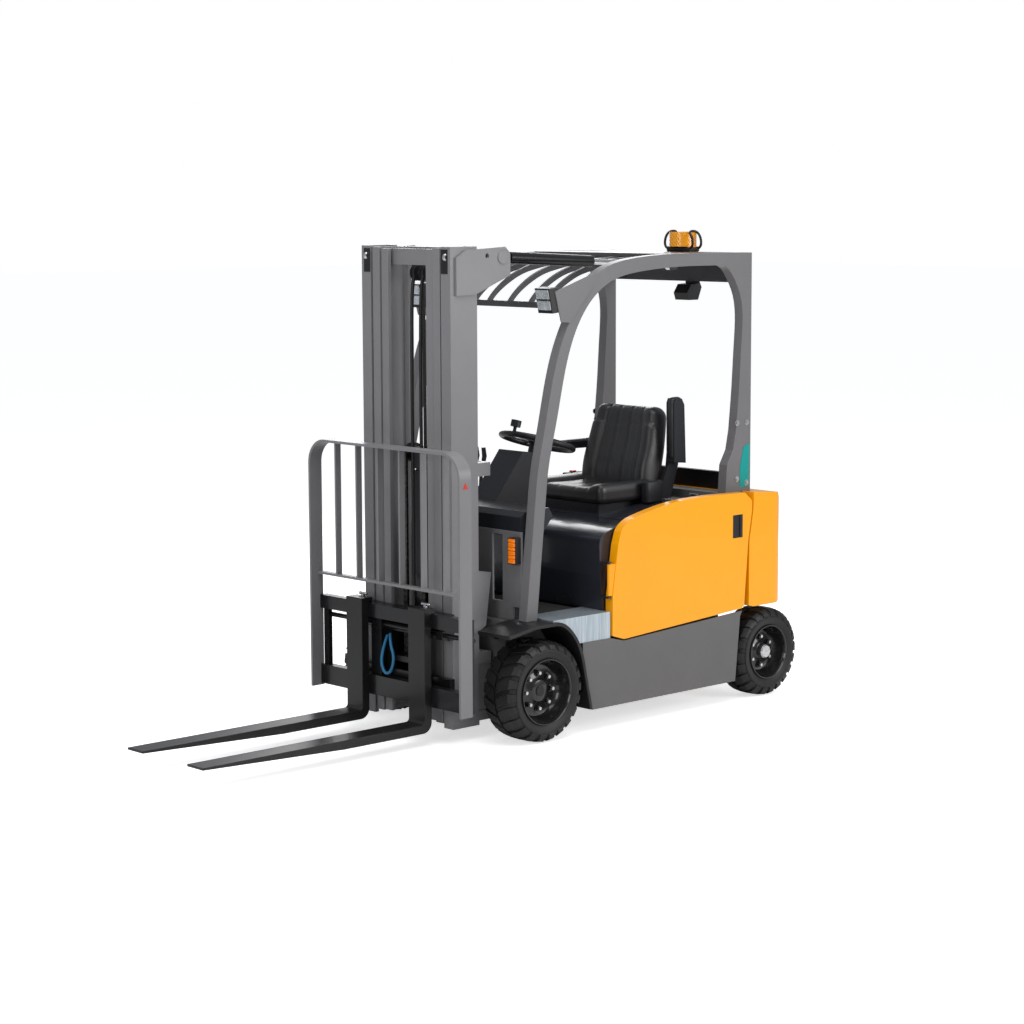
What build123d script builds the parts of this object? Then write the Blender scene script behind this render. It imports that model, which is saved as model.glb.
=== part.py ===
"""Four-wheel counterbalance forklift with a three-stage mast, sideshift, overhead guard and electric drive.

X points to the truck's left, the forks point to -Y and Z is up. The ground is at Z = 0 and the origin lies
under the middle of the truck. Planes for the sketches start at the front axle, so every distance along the
truck in this file is counted from there, negative to the forks and positive to the rear.
"""

from math import cos, radians, sin, sqrt
import os

from build123d import *

os.makedirs("parts", exist_ok=True)

# Whole truck
wheelbase = 1500
fork_tip_reach = 1645
tail_reach = 1625
rear_wheel_radius = 215
front_axle_y = (fork_tip_reach - wheelbase - rear_wheel_radius) / 2
body_half_width = 565
sheet = 8
seat_gap = 0.3
moving_gap = 6

# Wheels
front_wheel_radius = 230
front_tyre_width = 196
front_outer_x = body_half_width + 19
rear_tyre_width = 165
rear_outer_x = body_half_width + 1
front_rim_radius = 150
rear_rim_radius = 132
tyre_shoulder = 26

# Axles
axle_tube_radius = 60
axle_housing_radius = 104
axle_housing_half = 165
spindle_radius = 24
kingpin_x = rear_outer_x - rear_tyre_width - 29
kingpin_radius = 14
rear_spindle_radius = 22
steer_beam_half_depth = 36

# Chassis
skirt_bottom = 105
box_half_width = front_outer_x - front_tyre_width - 16
box_bottom = 345
box_front = -58
floor_top = 540
floor_thickness = 12
tub_front = 300
tub_rear = wheelbase - rear_wheel_radius - 95
battery_front = tub_front + 200
battery_rear = tub_rear - 10
battery_top = 800
rear_wall_front = 1266
rear_wall_rear = 1352
deck_height = 998
wheel_clear_height = 452

# Overhead guard
guard_outer_x = body_half_width - 85
guard_width = 52
roof_bar_places = (-240, -140, 0, 140, 240)
roof_bar_width = 16
roof_plate_front = 886
roof_top = 2142
crossbar_height = 1920

# Mast
mast_half_width = 300
mast_front = -307
mast_rear = -151
mast_bottom = 62
mast_top = 2192
rail_web = 16
rail_flange = 20
flange_reach = 62
lift_barrel_x = 205
lift_barrel_y = -117
lift_barrel_radius = 25
lift_rod_radius = 17
free_lift_y = -215
free_lift_radius = 42

# Tilt cylinders, high up beside the roof
tilt_x = 284
tilt_eye = (-10, 2142)
tilt_pivot = (1090, 2083)
tilt_barrel_radius = 27
tilt_rod_radius = 14

# Forks and fork carriage
fork_x = 215
fork_width = 110
fork_bottom = 62
fork_shank_front = -447
fork_shank_top = 615
fork_top = 102
backrest_half_width = 520
backrest_front = -457
backrest_rear = -389
backrest_top = 1317
backrest_crossbar = 694
backrest_bottom = 166
bar_front = -407
bar_rear = -367

# Operator's place
door_inner_x = body_half_width - 45
hood_half_width = door_inner_x - moving_gap
seat_half_width = 235
wheel_centre = (494, 1268)
wheel_tilt = 17
wheel_rim_radius = 170

# Planes through the front axle: from above, from the left side and from the front
plan = Plane((0, front_axle_y, 0))
side = Plane(origin=(0, front_axle_y, 0), x_dir=(0, 1, 0), z_dir=(1, 0, 0))
front = Plane(origin=(0, front_axle_y, 0), x_dir=(1, 0, 0), z_dir=(0, -1, 0))


# Drive axle: a tube between the front wheels with two drive housings and the journals that carry the mast
hub_flange_x = front_outer_x - front_tyre_width - 26
spindle_end_x = front_outer_x - 46
with BuildPart() as drive_axle:
    with BuildSketch(side.offset(-hub_flange_x)):
        with Locations((0, front_wheel_radius)):
            Circle(axle_tube_radius)
    extrude(amount=2 * hub_flange_x)
    with BuildSketch(side.offset(-axle_housing_half)):
        with Locations((0, front_wheel_radius)):
            Circle(axle_housing_radius)
    extrude(amount=2 * axle_housing_half)
    with BuildSketch(side.offset(-spindle_end_x)):
        with Locations((0, front_wheel_radius)):
            Circle(spindle_radius)
    extrude(amount=2 * spindle_end_x)
drive_axle.part.label = "drive_axle"
export_step(drive_axle.part, "parts/drive_axle.step")


# Chassis: two side skirts, the tub between them for the battery, the box over the drive axle and the rear wall
hinge_x = 300
deck_hinge = (rear_wall_front - 14, 975)
deck_pin_radius = 6
skirt_outline = [(298, skirt_bottom), (1257, skirt_bottom), (1289, 415), (1303, 440), (500, 397), (423, 417),
                 (238, 417), (238, 359)]
with BuildPart() as frame:
    with BuildSketch(side.offset(body_half_width - sheet)):
        with BuildLine():
            Polyline(*skirt_outline, close=True)
        make_face()
    extrude(amount=sheet)
    with BuildSketch(side.offset(door_inner_x - 30)):
        with BuildLine():
            Polyline((tub_front, skirt_bottom + 5), (tub_rear, skirt_bottom + 5), (tub_rear, 420),
                     (500, 395), (tub_front, 395), close=True)
        make_face()
    extrude(amount=body_half_width - sheet - door_inner_x + 30)
    mirror(about=Plane.YZ)
    with BuildSketch(plan.offset(skirt_bottom + 5)):
        with Locations((0, (tub_front + tub_rear) / 2)):
            Rectangle(2 * door_inner_x, tub_rear - tub_front)
    extrude(amount=15)
    with BuildSketch(front.offset(-tub_front)):
        with Locations((0, (skirt_bottom + floor_top - floor_thickness + 5) / 2)):
            Rectangle(2 * door_inner_x - 60, floor_top - floor_thickness - skirt_bottom - 5)
    extrude(amount=-24)
    with BuildSketch(side.offset(-box_half_width)):
        with BuildLine():
            Polyline((box_front, box_bottom), (tub_front + 10, box_bottom), (tub_front + 10, 528),
                     (box_front, 528), close=True)
        make_face()
    extrude(amount=2 * box_half_width)
    with BuildSketch(side.offset(-door_inner_x + 6)):
        with BuildLine():
            Polyline((tub_rear - 24, skirt_bottom + 5), (tub_rear, skirt_bottom + 5), (tub_rear, wheel_clear_height),
                     (rear_wall_rear, wheel_clear_height), (rear_wall_rear, deck_height),
                     (rear_wall_front, deck_height), (rear_wall_front, wheel_clear_height + 40),
                     (tub_rear - 24, wheel_clear_height + 40), close=True)
        make_face()
    extrude(amount=2 * door_inner_x - 12)
    with BuildSketch(side.offset(-150)):
        with BuildLine():
            Polyline((-40, 300), (40, 300), (60, box_bottom + 5), (-50, box_bottom + 5), close=True)
        make_face()
    extrude(amount=300)
    for ear_x in (-hinge_x, hinge_x):
        for lug_x in (ear_x - 29, ear_x + 17):
            with BuildSketch(side.offset(lug_x)):
                with Locations(deck_hinge):
                    Circle(10)
                with Locations((deck_hinge[0] + 9, deck_hinge[1] - 10)):
                    Rectangle(18, 40)
            extrude(amount=12)
        with BuildSketch(side.offset(ear_x - 20)):
            with Locations(deck_hinge):
                Circle(deck_pin_radius)
        extrude(amount=40)
    with BuildSketch(side.offset(-axle_housing_half)):
        with Locations((0, front_wheel_radius)):
            Circle(axle_housing_radius + seat_gap)
    extrude(amount=2 * axle_housing_half, mode=Mode.SUBTRACT)
frame.part.label = "frame"
export_step(frame.part, "parts/frame.step")

with BuildPart() as battery:
    with BuildSketch(plan.offset(skirt_bottom + 20)):
        with Locations((0, (battery_front + battery_rear) / 2 - 10)):
            Rectangle(2 * door_inner_x - 64, battery_rear - battery_front - 40)
    extrude(amount=battery_top - skirt_bottom - 20)
battery.part.label = "battery"
export_step(battery.part, "parts/battery.step")


# Front fenders: a pressed arch over each front wheel, flat on top where the guard's pillar stands
fender_inner_x = box_half_width
fender_outer_x = front_outer_x - 4
fender_top = 534
fender_curve = [(60, fender_top), (150, 496), (208, 420), (243, 310), (266, 200), (286, 112)]
with BuildPart() as front_fenders:
    with BuildSketch(side.offset(fender_inner_x)):
        with BuildLine():
            Polyline((-225, 507), (-60, fender_top), fender_curve[0])
            Spline(*fender_curve, tangents=[(1, 0), (0.2, -1)])
            Polyline(fender_curve[-1], (270, 112))
            Spline((270, 112), (250, 203), (228, 305), (194, 410), (140, 482), (56, 518), tangents=[(-0.2, 1), (-1, 0)])
            Polyline((56, 518), (-60, 518), (-225, 491), (-225, 507))
        make_face()
    extrude(amount=fender_outer_x - fender_inner_x)
    mirror(about=Plane.YZ)
front_fenders.part.label = "front_fenders"
export_step(front_fenders.part, "parts/front_fenders.step")


# Floor, and the step plate on each side between the fender and the side door
with BuildPart() as floor_plate:
    with BuildSketch(plan.offset(floor_top - floor_thickness)):
        with Locations((0, 190)):
            Rectangle(2 * box_half_width - 4, 380)
    extrude(amount=floor_thickness)
floor_plate.part.label = "floor_plate"
export_step(floor_plate.part, "parts/floor_plate.step")

step_outer_x = body_half_width - 7
with BuildPart() as step_plates:
    with BuildSketch(side.offset(box_half_width)):
        with BuildLine():
            Polyline((100, 418), (418, 418), (418, floor_top), (fender_curve[0][0], floor_top), (fender_curve[0][0], 418),
                     close=True)
        make_face()
    extrude(amount=step_outer_x - box_half_width)
    with BuildSketch(side.offset(box_half_width)):
        with BuildLine():
            Polyline((262, 410), (406, 410), (406, floor_top - floor_thickness), (178, floor_top - floor_thickness),
                     close=True)
        make_face()
    extrude(amount=step_outer_x - 12 - box_half_width, mode=Mode.SUBTRACT)
    with BuildSketch(side.offset(box_half_width)):
        with BuildLine():
            Spline(*fender_curve, tangents=[(1, 0), (0.2, -1)])
            Polyline(fender_curve[-1], (0, 112), (0, fender_top), fender_curve[0])
        make_face()
    extrude(amount=step_outer_x - box_half_width, mode=Mode.SUBTRACT)
    mirror(about=Plane.YZ)
step_plates.part.label = "step_plates"
export_step(step_plates.part, "parts/step_plates.step")


# Front cowl: a folded steel plate between the pillars, with two upright slots
cowl_front = -12
cowl_half = guard_outer_x - guard_width
with BuildPart() as cowl:
    with BuildSketch(front.offset(-cowl_front)):
        with Locations((0, (528 + 930) / 2)):
            Rectangle(2 * box_half_width, 930 - 528)
        with Locations((0, 760)):
            Rectangle(2 * cowl_half, 340)
        with Locations((-272, 760), (272, 760)):
            Rectangle(66, 300, mode=Mode.SUBTRACT)
    extrude(amount=-12)
cowl.part.label = "cowl"
export_step(cowl.part, "parts/cowl.step")

# Dashboard: a moulded shelf from pillar to pillar, the steering column cover and the lever console
column_half = 82
column_direction = (sin(radians(wheel_tilt)), cos(radians(wheel_tilt)))
with BuildPart() as dash:
    with BuildSketch(side.offset(-cowl_half + 6)):
        with BuildLine():
            Polyline((-8, 930), (-8, 995), (20, 1018), (165, 1025), (190, 985), (120, 905), (1, 905), (1, 930),
                     close=True)
        make_face()
    extrude(amount=2 * cowl_half - 12)
    with BuildSketch(side.offset(-column_half)):
        with BuildLine():
            Polyline((100, 960), (327, 1241), (455, 1222), (472, 1160), (330, 930), (110, 910), close=True)
        make_face()
    extrude(amount=2 * column_half)
    with BuildSketch(side.offset(-cowl_half + 6)):
        with BuildLine():
            Polyline((120, 960), (120, 1015), (410, 1015), (420, 990), (400, 945), close=True)
        make_face()
    extrude(amount=230)
    with BuildSketch(Plane(origin=(0, front_axle_y + wheel_centre[0], wheel_centre[1]), x_dir=(1, 0, 0),
                           z_dir=(0, *column_direction)).offset(-14 - seat_gap)):
        Circle(34)
    extrude(amount=-90)
dash.part.label = "dash"
export_step(dash.part, "parts/dash.step")

with BuildPart() as control_levers:
    for lever_x in (-250, -300, -350):
        with BuildSketch(side.offset(lever_x - 5)):
            with BuildLine():
                Polyline((352, 1015), (364, 1015), (372, 1100), (398, 1190), (390, 1232), (372, 1232), (376, 1190),
                         (358, 1100), close=True)
            make_face()
        extrude(amount=10)
control_levers.part.label = "control_levers"
export_step(control_levers.part, "parts/control_levers.step")

with BuildPart() as pedals:
    for pedal_x, pedal_width in ((-170, 70), (-40, 110)):
        with BuildSketch(side.offset(pedal_x - pedal_width / 2)):
            with BuildLine():
                Polyline((200, floor_top), (214, floor_top), (150, 660), (138, 654), close=True)
            make_face()
        extrude(amount=pedal_width)
pedals.part.label = "pedals"
export_step(pedals.part, "parts/pedals.step")


# Steering wheel with three spokes, a hub and a spinner knob
wheel_plane = Plane(origin=(0, front_axle_y + wheel_centre[0], wheel_centre[1]), x_dir=(1, 0, 0),
                    z_dir=(0, column_direction[0], column_direction[1]))
with BuildPart() as steering_wheel:
    with BuildSketch(Plane(origin=wheel_plane.origin, x_dir=(1, 0, 0), z_dir=wheel_plane.y_dir)):
        with Locations((wheel_rim_radius, 0)):
            Circle(14)
    revolve(axis=Axis(wheel_plane.origin, wheel_plane.z_dir))
    with BuildSketch(wheel_plane.offset(-14)):
        Circle(42)
    extrude(amount=24)
    with BuildSketch(wheel_plane.offset(-7)):
        with PolarLocations(wheel_rim_radius / 2 + 10, 3, start_angle=30):
            Rectangle(wheel_rim_radius - 30, 34)
    extrude(amount=12)
    with BuildSketch(wheel_plane.offset(4)):
        with Locations((14, -wheel_rim_radius)):
            Circle(8)
    extrude(amount=40)
    with BuildSketch(wheel_plane.offset(34)):
        with Locations((14, -wheel_rim_radius)):
            Circle(24)
    extrude(amount=30)
steering_wheel.part.label = "steering_wheel"
export_step(steering_wheel.part, "parts/steering_wheel.step")


# Overhead guard: one pressed profile a side, from the pillar over the roof to the rear post
guard_inner_x = guard_outer_x - guard_width
with BuildPart() as guard_side_left:
    with BuildSketch(side.offset(guard_inner_x)):
        with BuildLine():
            Polyline((35, 534), (-30, 534), (34, 1132))
            Spline((34, 1132), (86, 1385), (179, 1733), (253, 1880), (411, 2061), (687, 2131), (1087, 2142),
                   tangents=[(0.11, 1), (1, 0)])
            Polyline((1087, 2142), (1450, 2138), (1450, deck_height), (1275, deck_height), (1284, 1134),
                     (1326, 1203), (1346, 1297))
            Spline((1346, 1297), (1365, 1487), (1380, 1701), (1371, 1933), (1335, 2003), (1240, 2082),
                   tangents=[(0.1, 1), (-1, 0.05)])
            Spline((1240, 2082), (1019, 2083), (687, 2065), (506, 2027), (379, 1946), (260, 1772), (161, 1422),
                   (98, 1132), tangents=[(-1, 0), (-0.11, -1)])
            Polyline((98, 1132), (35, 534))
        make_face()
    extrude(amount=guard_width)
guard_side_left.part.label = "guard_side_left"
export_step(guard_side_left.part, "parts/guard_side_left.step")

with BuildPart() as guard_side_right:
    mirror(guard_side_left.part, about=Plane.YZ)
guard_side_right.part.label = "guard_side_right"
export_step(guard_side_right.part, "parts/guard_side_right.step")

# Roof: a crossbar low between the pillars, curved bars that rise from it, and a sheet with its header behind
with BuildPart() as guard_roof_bars:
    with BuildSketch(side.offset(-guard_inner_x)):
        with BuildLine():
            Polyline((300, crossbar_height - 15), (330, crossbar_height - 15), (330, crossbar_height + 12),
                     (300, crossbar_height + 12), close=True)
        make_face()
    extrude(amount=2 * guard_inner_x)
    for bar_x in roof_bar_places:
        with BuildSketch(side.offset(bar_x - roof_bar_width / 2)):
            with BuildLine():
                Spline((306, crossbar_height), (396, 2005), (491, 2058), (620, 2100), (roof_plate_front, 2126),
                       tangents=[(0.6, 0.8), (1, 0.04)])
                Polyline((roof_plate_front, 2126), (roof_plate_front, 2104))
                Spline((roof_plate_front, 2104), (618, 2068), (540, 2050), (444, 2008), (330, crossbar_height),
                       tangents=[(-1, -0.04), (-0.6, -0.8)])
                Polyline((330, crossbar_height), (306, crossbar_height))
            make_face()
        extrude(amount=roof_bar_width)
guard_roof_bars.part.label = "guard_roof_bars"
export_step(guard_roof_bars.part, "parts/guard_roof_bars.step")

roof_rear_top = 2137
header_rear = 1446
lug_gap = 4
lug_thickness = 10
tilt_eye_half = 15
tilt_pin_radius = 12
with BuildPart() as guard_roof_sheet:
    with BuildSketch(side.offset(-guard_inner_x)):
        with BuildLine():
            Polyline((roof_plate_front, 2126), (roof_plate_front, roof_top), (1330, roof_rear_top),
                     (header_rear, roof_rear_top), (header_rear, 1994), (header_rear - sheet, 1994),
                     (header_rear - sheet, roof_rear_top - sheet), (1330, roof_rear_top - sheet),
                     (roof_plate_front + sheet, roof_top - sheet), (roof_plate_front + sheet, 2126), close=True)
        make_face()
    extrude(amount=2 * guard_inner_x)
    for lug_x in (-tilt_eye_half - lug_gap - lug_thickness, tilt_eye_half + lug_gap):
        with BuildSketch(side.offset(tilt_x + lug_x)):
            with BuildLine():
                Polyline((tilt_pivot[0] - 34, 2134), (tilt_pivot[0] - 20, tilt_pivot[1] - 22),
                         (tilt_pivot[0] + 20, tilt_pivot[1] - 22), (tilt_pivot[0] + 34, 2134), close=True)
            make_face()
        extrude(amount=lug_thickness)
    with BuildSketch(side.offset(tilt_x - tilt_eye_half - lug_gap)):
        with Locations(tilt_pivot):
            Circle(tilt_pin_radius)
    extrude(amount=2 * (tilt_eye_half + lug_gap))
    mirror(about=Plane.YZ)
guard_roof_sheet.part.label = "guard_roof_sheet"
export_step(guard_roof_sheet.part, "parts/guard_roof_sheet.step")


# Lamps: headlamps on slotted plates beside the pillars, a beacon, a lamp under the roof and amber indicators
with BuildPart() as headlamp_brackets:
    with BuildSketch(side.offset(guard_outer_x)):
        with BuildLine():
            Polyline((146, 1990), (382, 2064), (414, 2050), (330, 1948), (238, 1850), (183, 1856), close=True)
        make_face()
    extrude(amount=5)
    mirror(about=Plane.YZ)
headlamp_brackets.part.label = "headlamp_brackets"
export_step(headlamp_brackets.part, "parts/headlamp_brackets.step")

with BuildPart() as headlamps:
    with BuildSketch(side.offset(guard_outer_x - 92)):
        with BuildLine():
            Polyline((112, 2004), (160, 2010), (196, 1960), (180, 1898), (136, 1894), close=True)
        make_face()
    extrude(amount=92)
    mirror(about=Plane.YZ)
headlamps.part.label = "headlamps"
export_step(headlamps.part, "parts/headlamps.step")

beacon_place = (66, 1412)
with BuildPart() as beacon:
    with BuildSketch(plan.offset(roof_rear_top)):
        with Locations(beacon_place):
            Rectangle(150, 60)
    extrude(amount=26)
    with BuildSketch(plan.offset(roof_rear_top + 26)):
        with Locations(beacon_place):
            Circle(66)
    extrude(amount=70)
beacon.part.label = "beacon"
export_step(beacon.part, "parts/beacon.step")

with BuildPart() as roof_lamp:
    with BuildSketch(side.offset(52)):
        with BuildLine():
            Polyline((header_rear, 2060), (header_rear + 6, 2060), (header_rear + 6, 1990), (1465, 1965),
                     (1440, 1905), (1375, 1905), (1362, 1940), (1390, 1980), (header_rear, 1985), close=True)
        make_face()
    extrude(amount=90)
roof_lamp.part.label = "roof_lamp"
export_step(roof_lamp.part, "parts/roof_lamp.step")

with BuildPart() as indicator_lamps:
    with BuildSketch(front.offset(-cowl_front)):
        with Locations((402, 847), (-402, 847)):
            Rectangle(48, 118)
    extrude(amount=34)
indicator_lamps.part.label = "indicator_lamps"
export_step(indicator_lamps.part, "parts/indicator_lamps.step")

with BuildPart() as horn:
    with BuildSketch(front.offset(-box_front)):
        with Locations((338, 480)):
            Circle(33)
    extrude(amount=26)
horn.part.label = "horn"
export_step(horn.part, "parts/horn.step")


# Seat deck: a moulded front under the seat that stays, and behind it the deck that lifts to reach the battery
hood_front = 392
hood_wall = 14
deck_seam = 640
deck_lean = 26
hood_rear = rear_wall_front - 26
door_hinge = (body_half_width - 12, 415)
door_hinge_low = 612
door_hinge_high = 756
door_pin_radius = 5
hood_section = [(deck_seam, 925), (1000, 962), (hood_rear, 966)]


def deck_top(distance):
    start, end = (hood_section[0], hood_section[1]) if distance < hood_section[1][0] else hood_section[1:]
    return start[1] + (distance - start[0]) * (end[1] - start[1]) / (end[0] - start[0])


with BuildPart() as deck_front:
    with BuildSketch(side.offset(-hood_half_width)):
        with BuildLine():
            Polyline((hood_front + 20, floor_top), (hood_front + 4, 700), (hood_front, 840))
            Spline((hood_front, 840), (440, 898), (deck_seam - moving_gap - 3, deck_top(deck_seam) - 1),
                   tangents=[(0, 1), (1, 0.1)])
            Polyline((deck_seam - moving_gap - 3, deck_top(deck_seam) - 1), (deck_seam - moving_gap - 3, 780), (500, 660),
                     (500, floor_top), (hood_front + 20, floor_top))
        make_face()
    extrude(amount=2 * hood_half_width)
    with BuildSketch(side.offset(-hood_half_width + hood_wall)):
        with BuildLine():
            Polyline((hood_front + 34, 500), (hood_front + 18, 700), (hood_front + 14, 836), (448, 884),
                     (560, 904), (deck_seam, 912), (deck_seam, 500), close=True)
        make_face()
    extrude(amount=2 * hood_half_width - 2 * hood_wall, mode=Mode.SUBTRACT)
    for lug_bottom in (door_hinge_low - 12, door_hinge_high + 4):
        with BuildSketch(plan.offset(lug_bottom)):
            with Locations(((hood_half_width + door_hinge[0]) / 2, door_hinge[1] - 2)):
                Rectangle(door_hinge[0] - hood_half_width + 14, 18)
        extrude(amount=8)
    with BuildSketch(plan.offset(door_hinge_low - 12)):
        with Locations(door_hinge):
            Circle(door_pin_radius)
    extrude(amount=door_hinge_high - door_hinge_low + 24)
    mirror(about=Plane.YZ)
deck_front.part.label = "deck_front"
export_step(deck_front.part, "parts/deck_front.step")

with BuildPart() as seat_deck:
    with BuildSketch(side.offset(-hood_half_width)):
        with BuildLine():
            Polyline((deck_seam + deck_lean, battery_top + moving_gap), *hood_section, (hood_rear, 850),
                     (hood_rear - 120, battery_top + moving_gap), close=True)
        make_face()
    extrude(amount=2 * hood_half_width)
    with BuildSketch(side.offset(-hood_half_width + hood_wall)):
        with BuildLine():
            Polyline((deck_seam + 2 * deck_lean + hood_wall, 700), (deck_seam + deck_lean + hood_wall, battery_top),
                     (deck_seam + hood_wall + 4, deck_top(deck_seam) - hood_wall),
                     (1000, deck_top(1000) - hood_wall), (hood_rear - hood_wall, deck_top(hood_rear) - hood_wall),
                     (hood_rear - hood_wall, 700), close=True)
        make_face()
    extrude(amount=2 * hood_half_width - 2 * hood_wall, mode=Mode.SUBTRACT)
    for ear_x in (-hinge_x - 15, hinge_x - 15):
        with BuildSketch(side.offset(ear_x)):
            with Locations(deck_hinge):
                Circle(10)
            with BuildLine():
                Polyline((hood_rear - 10, 940), (hood_rear + 2, 940), (deck_hinge[0] + 6, deck_hinge[1] - 8),
                         (deck_hinge[0], deck_hinge[1] + 10), (hood_rear - 10, 960), close=True)
            make_face()
            with Locations(deck_hinge):
                Circle(deck_pin_radius + seat_gap, mode=Mode.SUBTRACT)
        extrude(amount=30)
seat_deck.part.label = "seat_deck"
export_step(seat_deck.part, "parts/seat_deck.step")

# Seat: a sprung base with brackets and armrests, a cushion and a back
cushion_bottom = 972
with BuildPart() as seat_frame:
    with BuildSketch(side.offset(-200)):
        with BuildLine():
            Polyline((700, deck_top(700)), (700, cushion_bottom), (1130, cushion_bottom), (1130, deck_top(1130)),
                     (1000, deck_top(1000)), close=True)
        make_face()
    extrude(amount=400)
    for bracket_x in (-seat_half_width - 24, seat_half_width + 6):
        with BuildSketch(side.offset(bracket_x)):
            with BuildLine():
                Polyline((1040, 985), (1130, 980), (1180, 1130), (1180, 1225), (1120, 1225), (1110, 1130), close=True)
            make_face()
        extrude(amount=18)
    with BuildSketch(side.offset(-seat_half_width - 24)):
        with BuildLine():
            Polyline((1040, 985), (1130, 985), (1130, cushion_bottom), (1040, cushion_bottom), close=True)
        make_face()
    extrude(amount=2 * seat_half_width + 48)
    with BuildSketch(side.offset(-seat_half_width - 74)):
        with BuildLine():
            Polyline((840, 1222), (1170, 1212), (1170, 1180), (900, 1184), (850, 1192), close=True)
        make_face()
    extrude(amount=52)
    with BuildSketch(side.offset(seat_half_width + 22)):
        with BuildLine():
            Polyline((1100, 1148), (1180, 1140), (1168, 1420), (1150, 1450), (1108, 1452), (1098, 1430), close=True)
        make_face()
    extrude(amount=52)
seat_frame.part.label = "seat_frame"
export_step(seat_frame.part, "parts/seat_frame.step")

with BuildPart() as seat_cushion:
    with BuildSketch(side.offset(-seat_half_width)):
        with BuildLine():
            Polyline((690, cushion_bottom + seat_gap), (676, 1010), (700, 1040), (1024, 1030),
                     (1024, cushion_bottom + seat_gap), close=True)
        make_face()
    extrude(amount=2 * seat_half_width)
seat_cushion.part.label = "seat_cushion"
export_step(seat_cushion.part, "parts/seat_cushion.step")

with BuildPart() as seat_back:
    with BuildSketch(side.offset(-seat_half_width + 10)):
        with BuildLine():
            Polyline((1041, 985 + seat_gap), (1030, 1060), (1062, 1370), (1086, 1400), (1130, 1396), (1150, 1360),
                     (1104, 1130), (1068, 985 + seat_gap), close=True)
        make_face()
    extrude(amount=2 * seat_half_width - 20)
seat_back.part.label = "seat_back"
export_step(seat_back.part, "parts/seat_back.step")

# Side doors: the tall yellow panels beside the battery, hinged at their front edge
with BuildPart() as side_door_left:
    with BuildSketch(side.offset(door_inner_x)):
        with BuildLine():
            Polyline((427, 427), (500, 404), (1297, 452), (1318, 464), (1344, 776), (1370, 918), (1370, 966),
                     (1318, 1007), (1100, 1012))
            Spline((1100, 1012), (835, 1003), (590, 961), (506, 927), (480, 898), tangents=[(-1, 0), (-0.6, -1)])
            Polyline((480, 898), (461, 840), (427, 600), (427, 427))
        make_face()
    extrude(amount=body_half_width - door_inner_x)
    with BuildSketch(plan.offset(door_hinge_low)):
        with Locations(door_hinge):
            Circle(door_pin_radius + 4)
        with Locations((door_hinge[0], door_hinge[1] + 24)):
            Rectangle(2 * door_pin_radius + 6, 40)
        with Locations(door_hinge):
            Circle(door_pin_radius + seat_gap, mode=Mode.SUBTRACT)
    extrude(amount=door_hinge_high - door_hinge_low)
side_door_left.part.label = "side_door_left"
export_step(side_door_left.part, "parts/side_door_left.step")

with BuildPart() as side_door_right:
    mirror(side_door_left.part, about=Plane.YZ)
side_door_right.part.label = "side_door_right"
export_step(side_door_right.part, "parts/side_door_right.step")


# Counterweight: the cast tail, rounded at its corners, with a pocket and a pin hole for towing
tow_pin_radius = 16
corner_radius = 100
with BuildPart() as counterweight:
    with BuildSketch(side.offset(-body_half_width)):
        with BuildLine():
            Polyline((rear_wall_rear, 460), (rear_wall_rear + 30, wheel_clear_height),
                     (tail_reach - 65, wheel_clear_height), (tail_reach - 25, 466), (tail_reach, 480), (tail_reach - 3, 662), (tail_reach - 44, 700), (tail_reach - 30, 895),
                     (tail_reach - 31, 944), (tail_reach - 62, 990), (1382, 1003), (1378, 918),
                     (rear_wall_rear, 776), close=True)
        make_face()
    extrude(amount=2 * body_half_width)
    with BuildSketch(plan.offset(400)):
        with Locations((0, (rear_wall_front - 300 + tail_reach) / 2)):
            RectangleRounded(2 * body_half_width, tail_reach - rear_wall_front + 300, corner_radius)
    extrude(amount=700, mode=Mode.INTERSECT)
    with BuildSketch(side.offset(-door_inner_x + 30)):
        with BuildLine():
            Polyline((1340, 991), (1460, 991), (1460, 1100), (1340, 1100), close=True)
        make_face()
    extrude(amount=2 * door_inner_x - 60, mode=Mode.SUBTRACT)
    with BuildSketch(side.offset(-60)):
        with BuildLine():
            Polyline((tail_reach - 55, 540), (tail_reach + 10, 540), (tail_reach + 10, 610), (tail_reach - 55, 610),
                     close=True)
        make_face()
    extrude(amount=120, mode=Mode.SUBTRACT)
    with BuildSketch(plan.offset(wheel_clear_height - 12)):
        with Locations((0, tail_reach - 29)):
            Circle(tow_pin_radius)
    extrude(amount=690 - wheel_clear_height + 12, mode=Mode.SUBTRACT)
counterweight.part.label = "counterweight"
export_step(counterweight.part, "parts/counterweight.step")

with BuildPart() as rear_tray:
    with BuildSketch(plan.offset(991)):
        with Locations((0, 1440)):
            Rectangle(2 * guard_inner_x - 4, 30)
    extrude(amount=86)
rear_tray.part.label = "rear_tray"
export_step(rear_tray.part, "parts/rear_tray.step")


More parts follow.
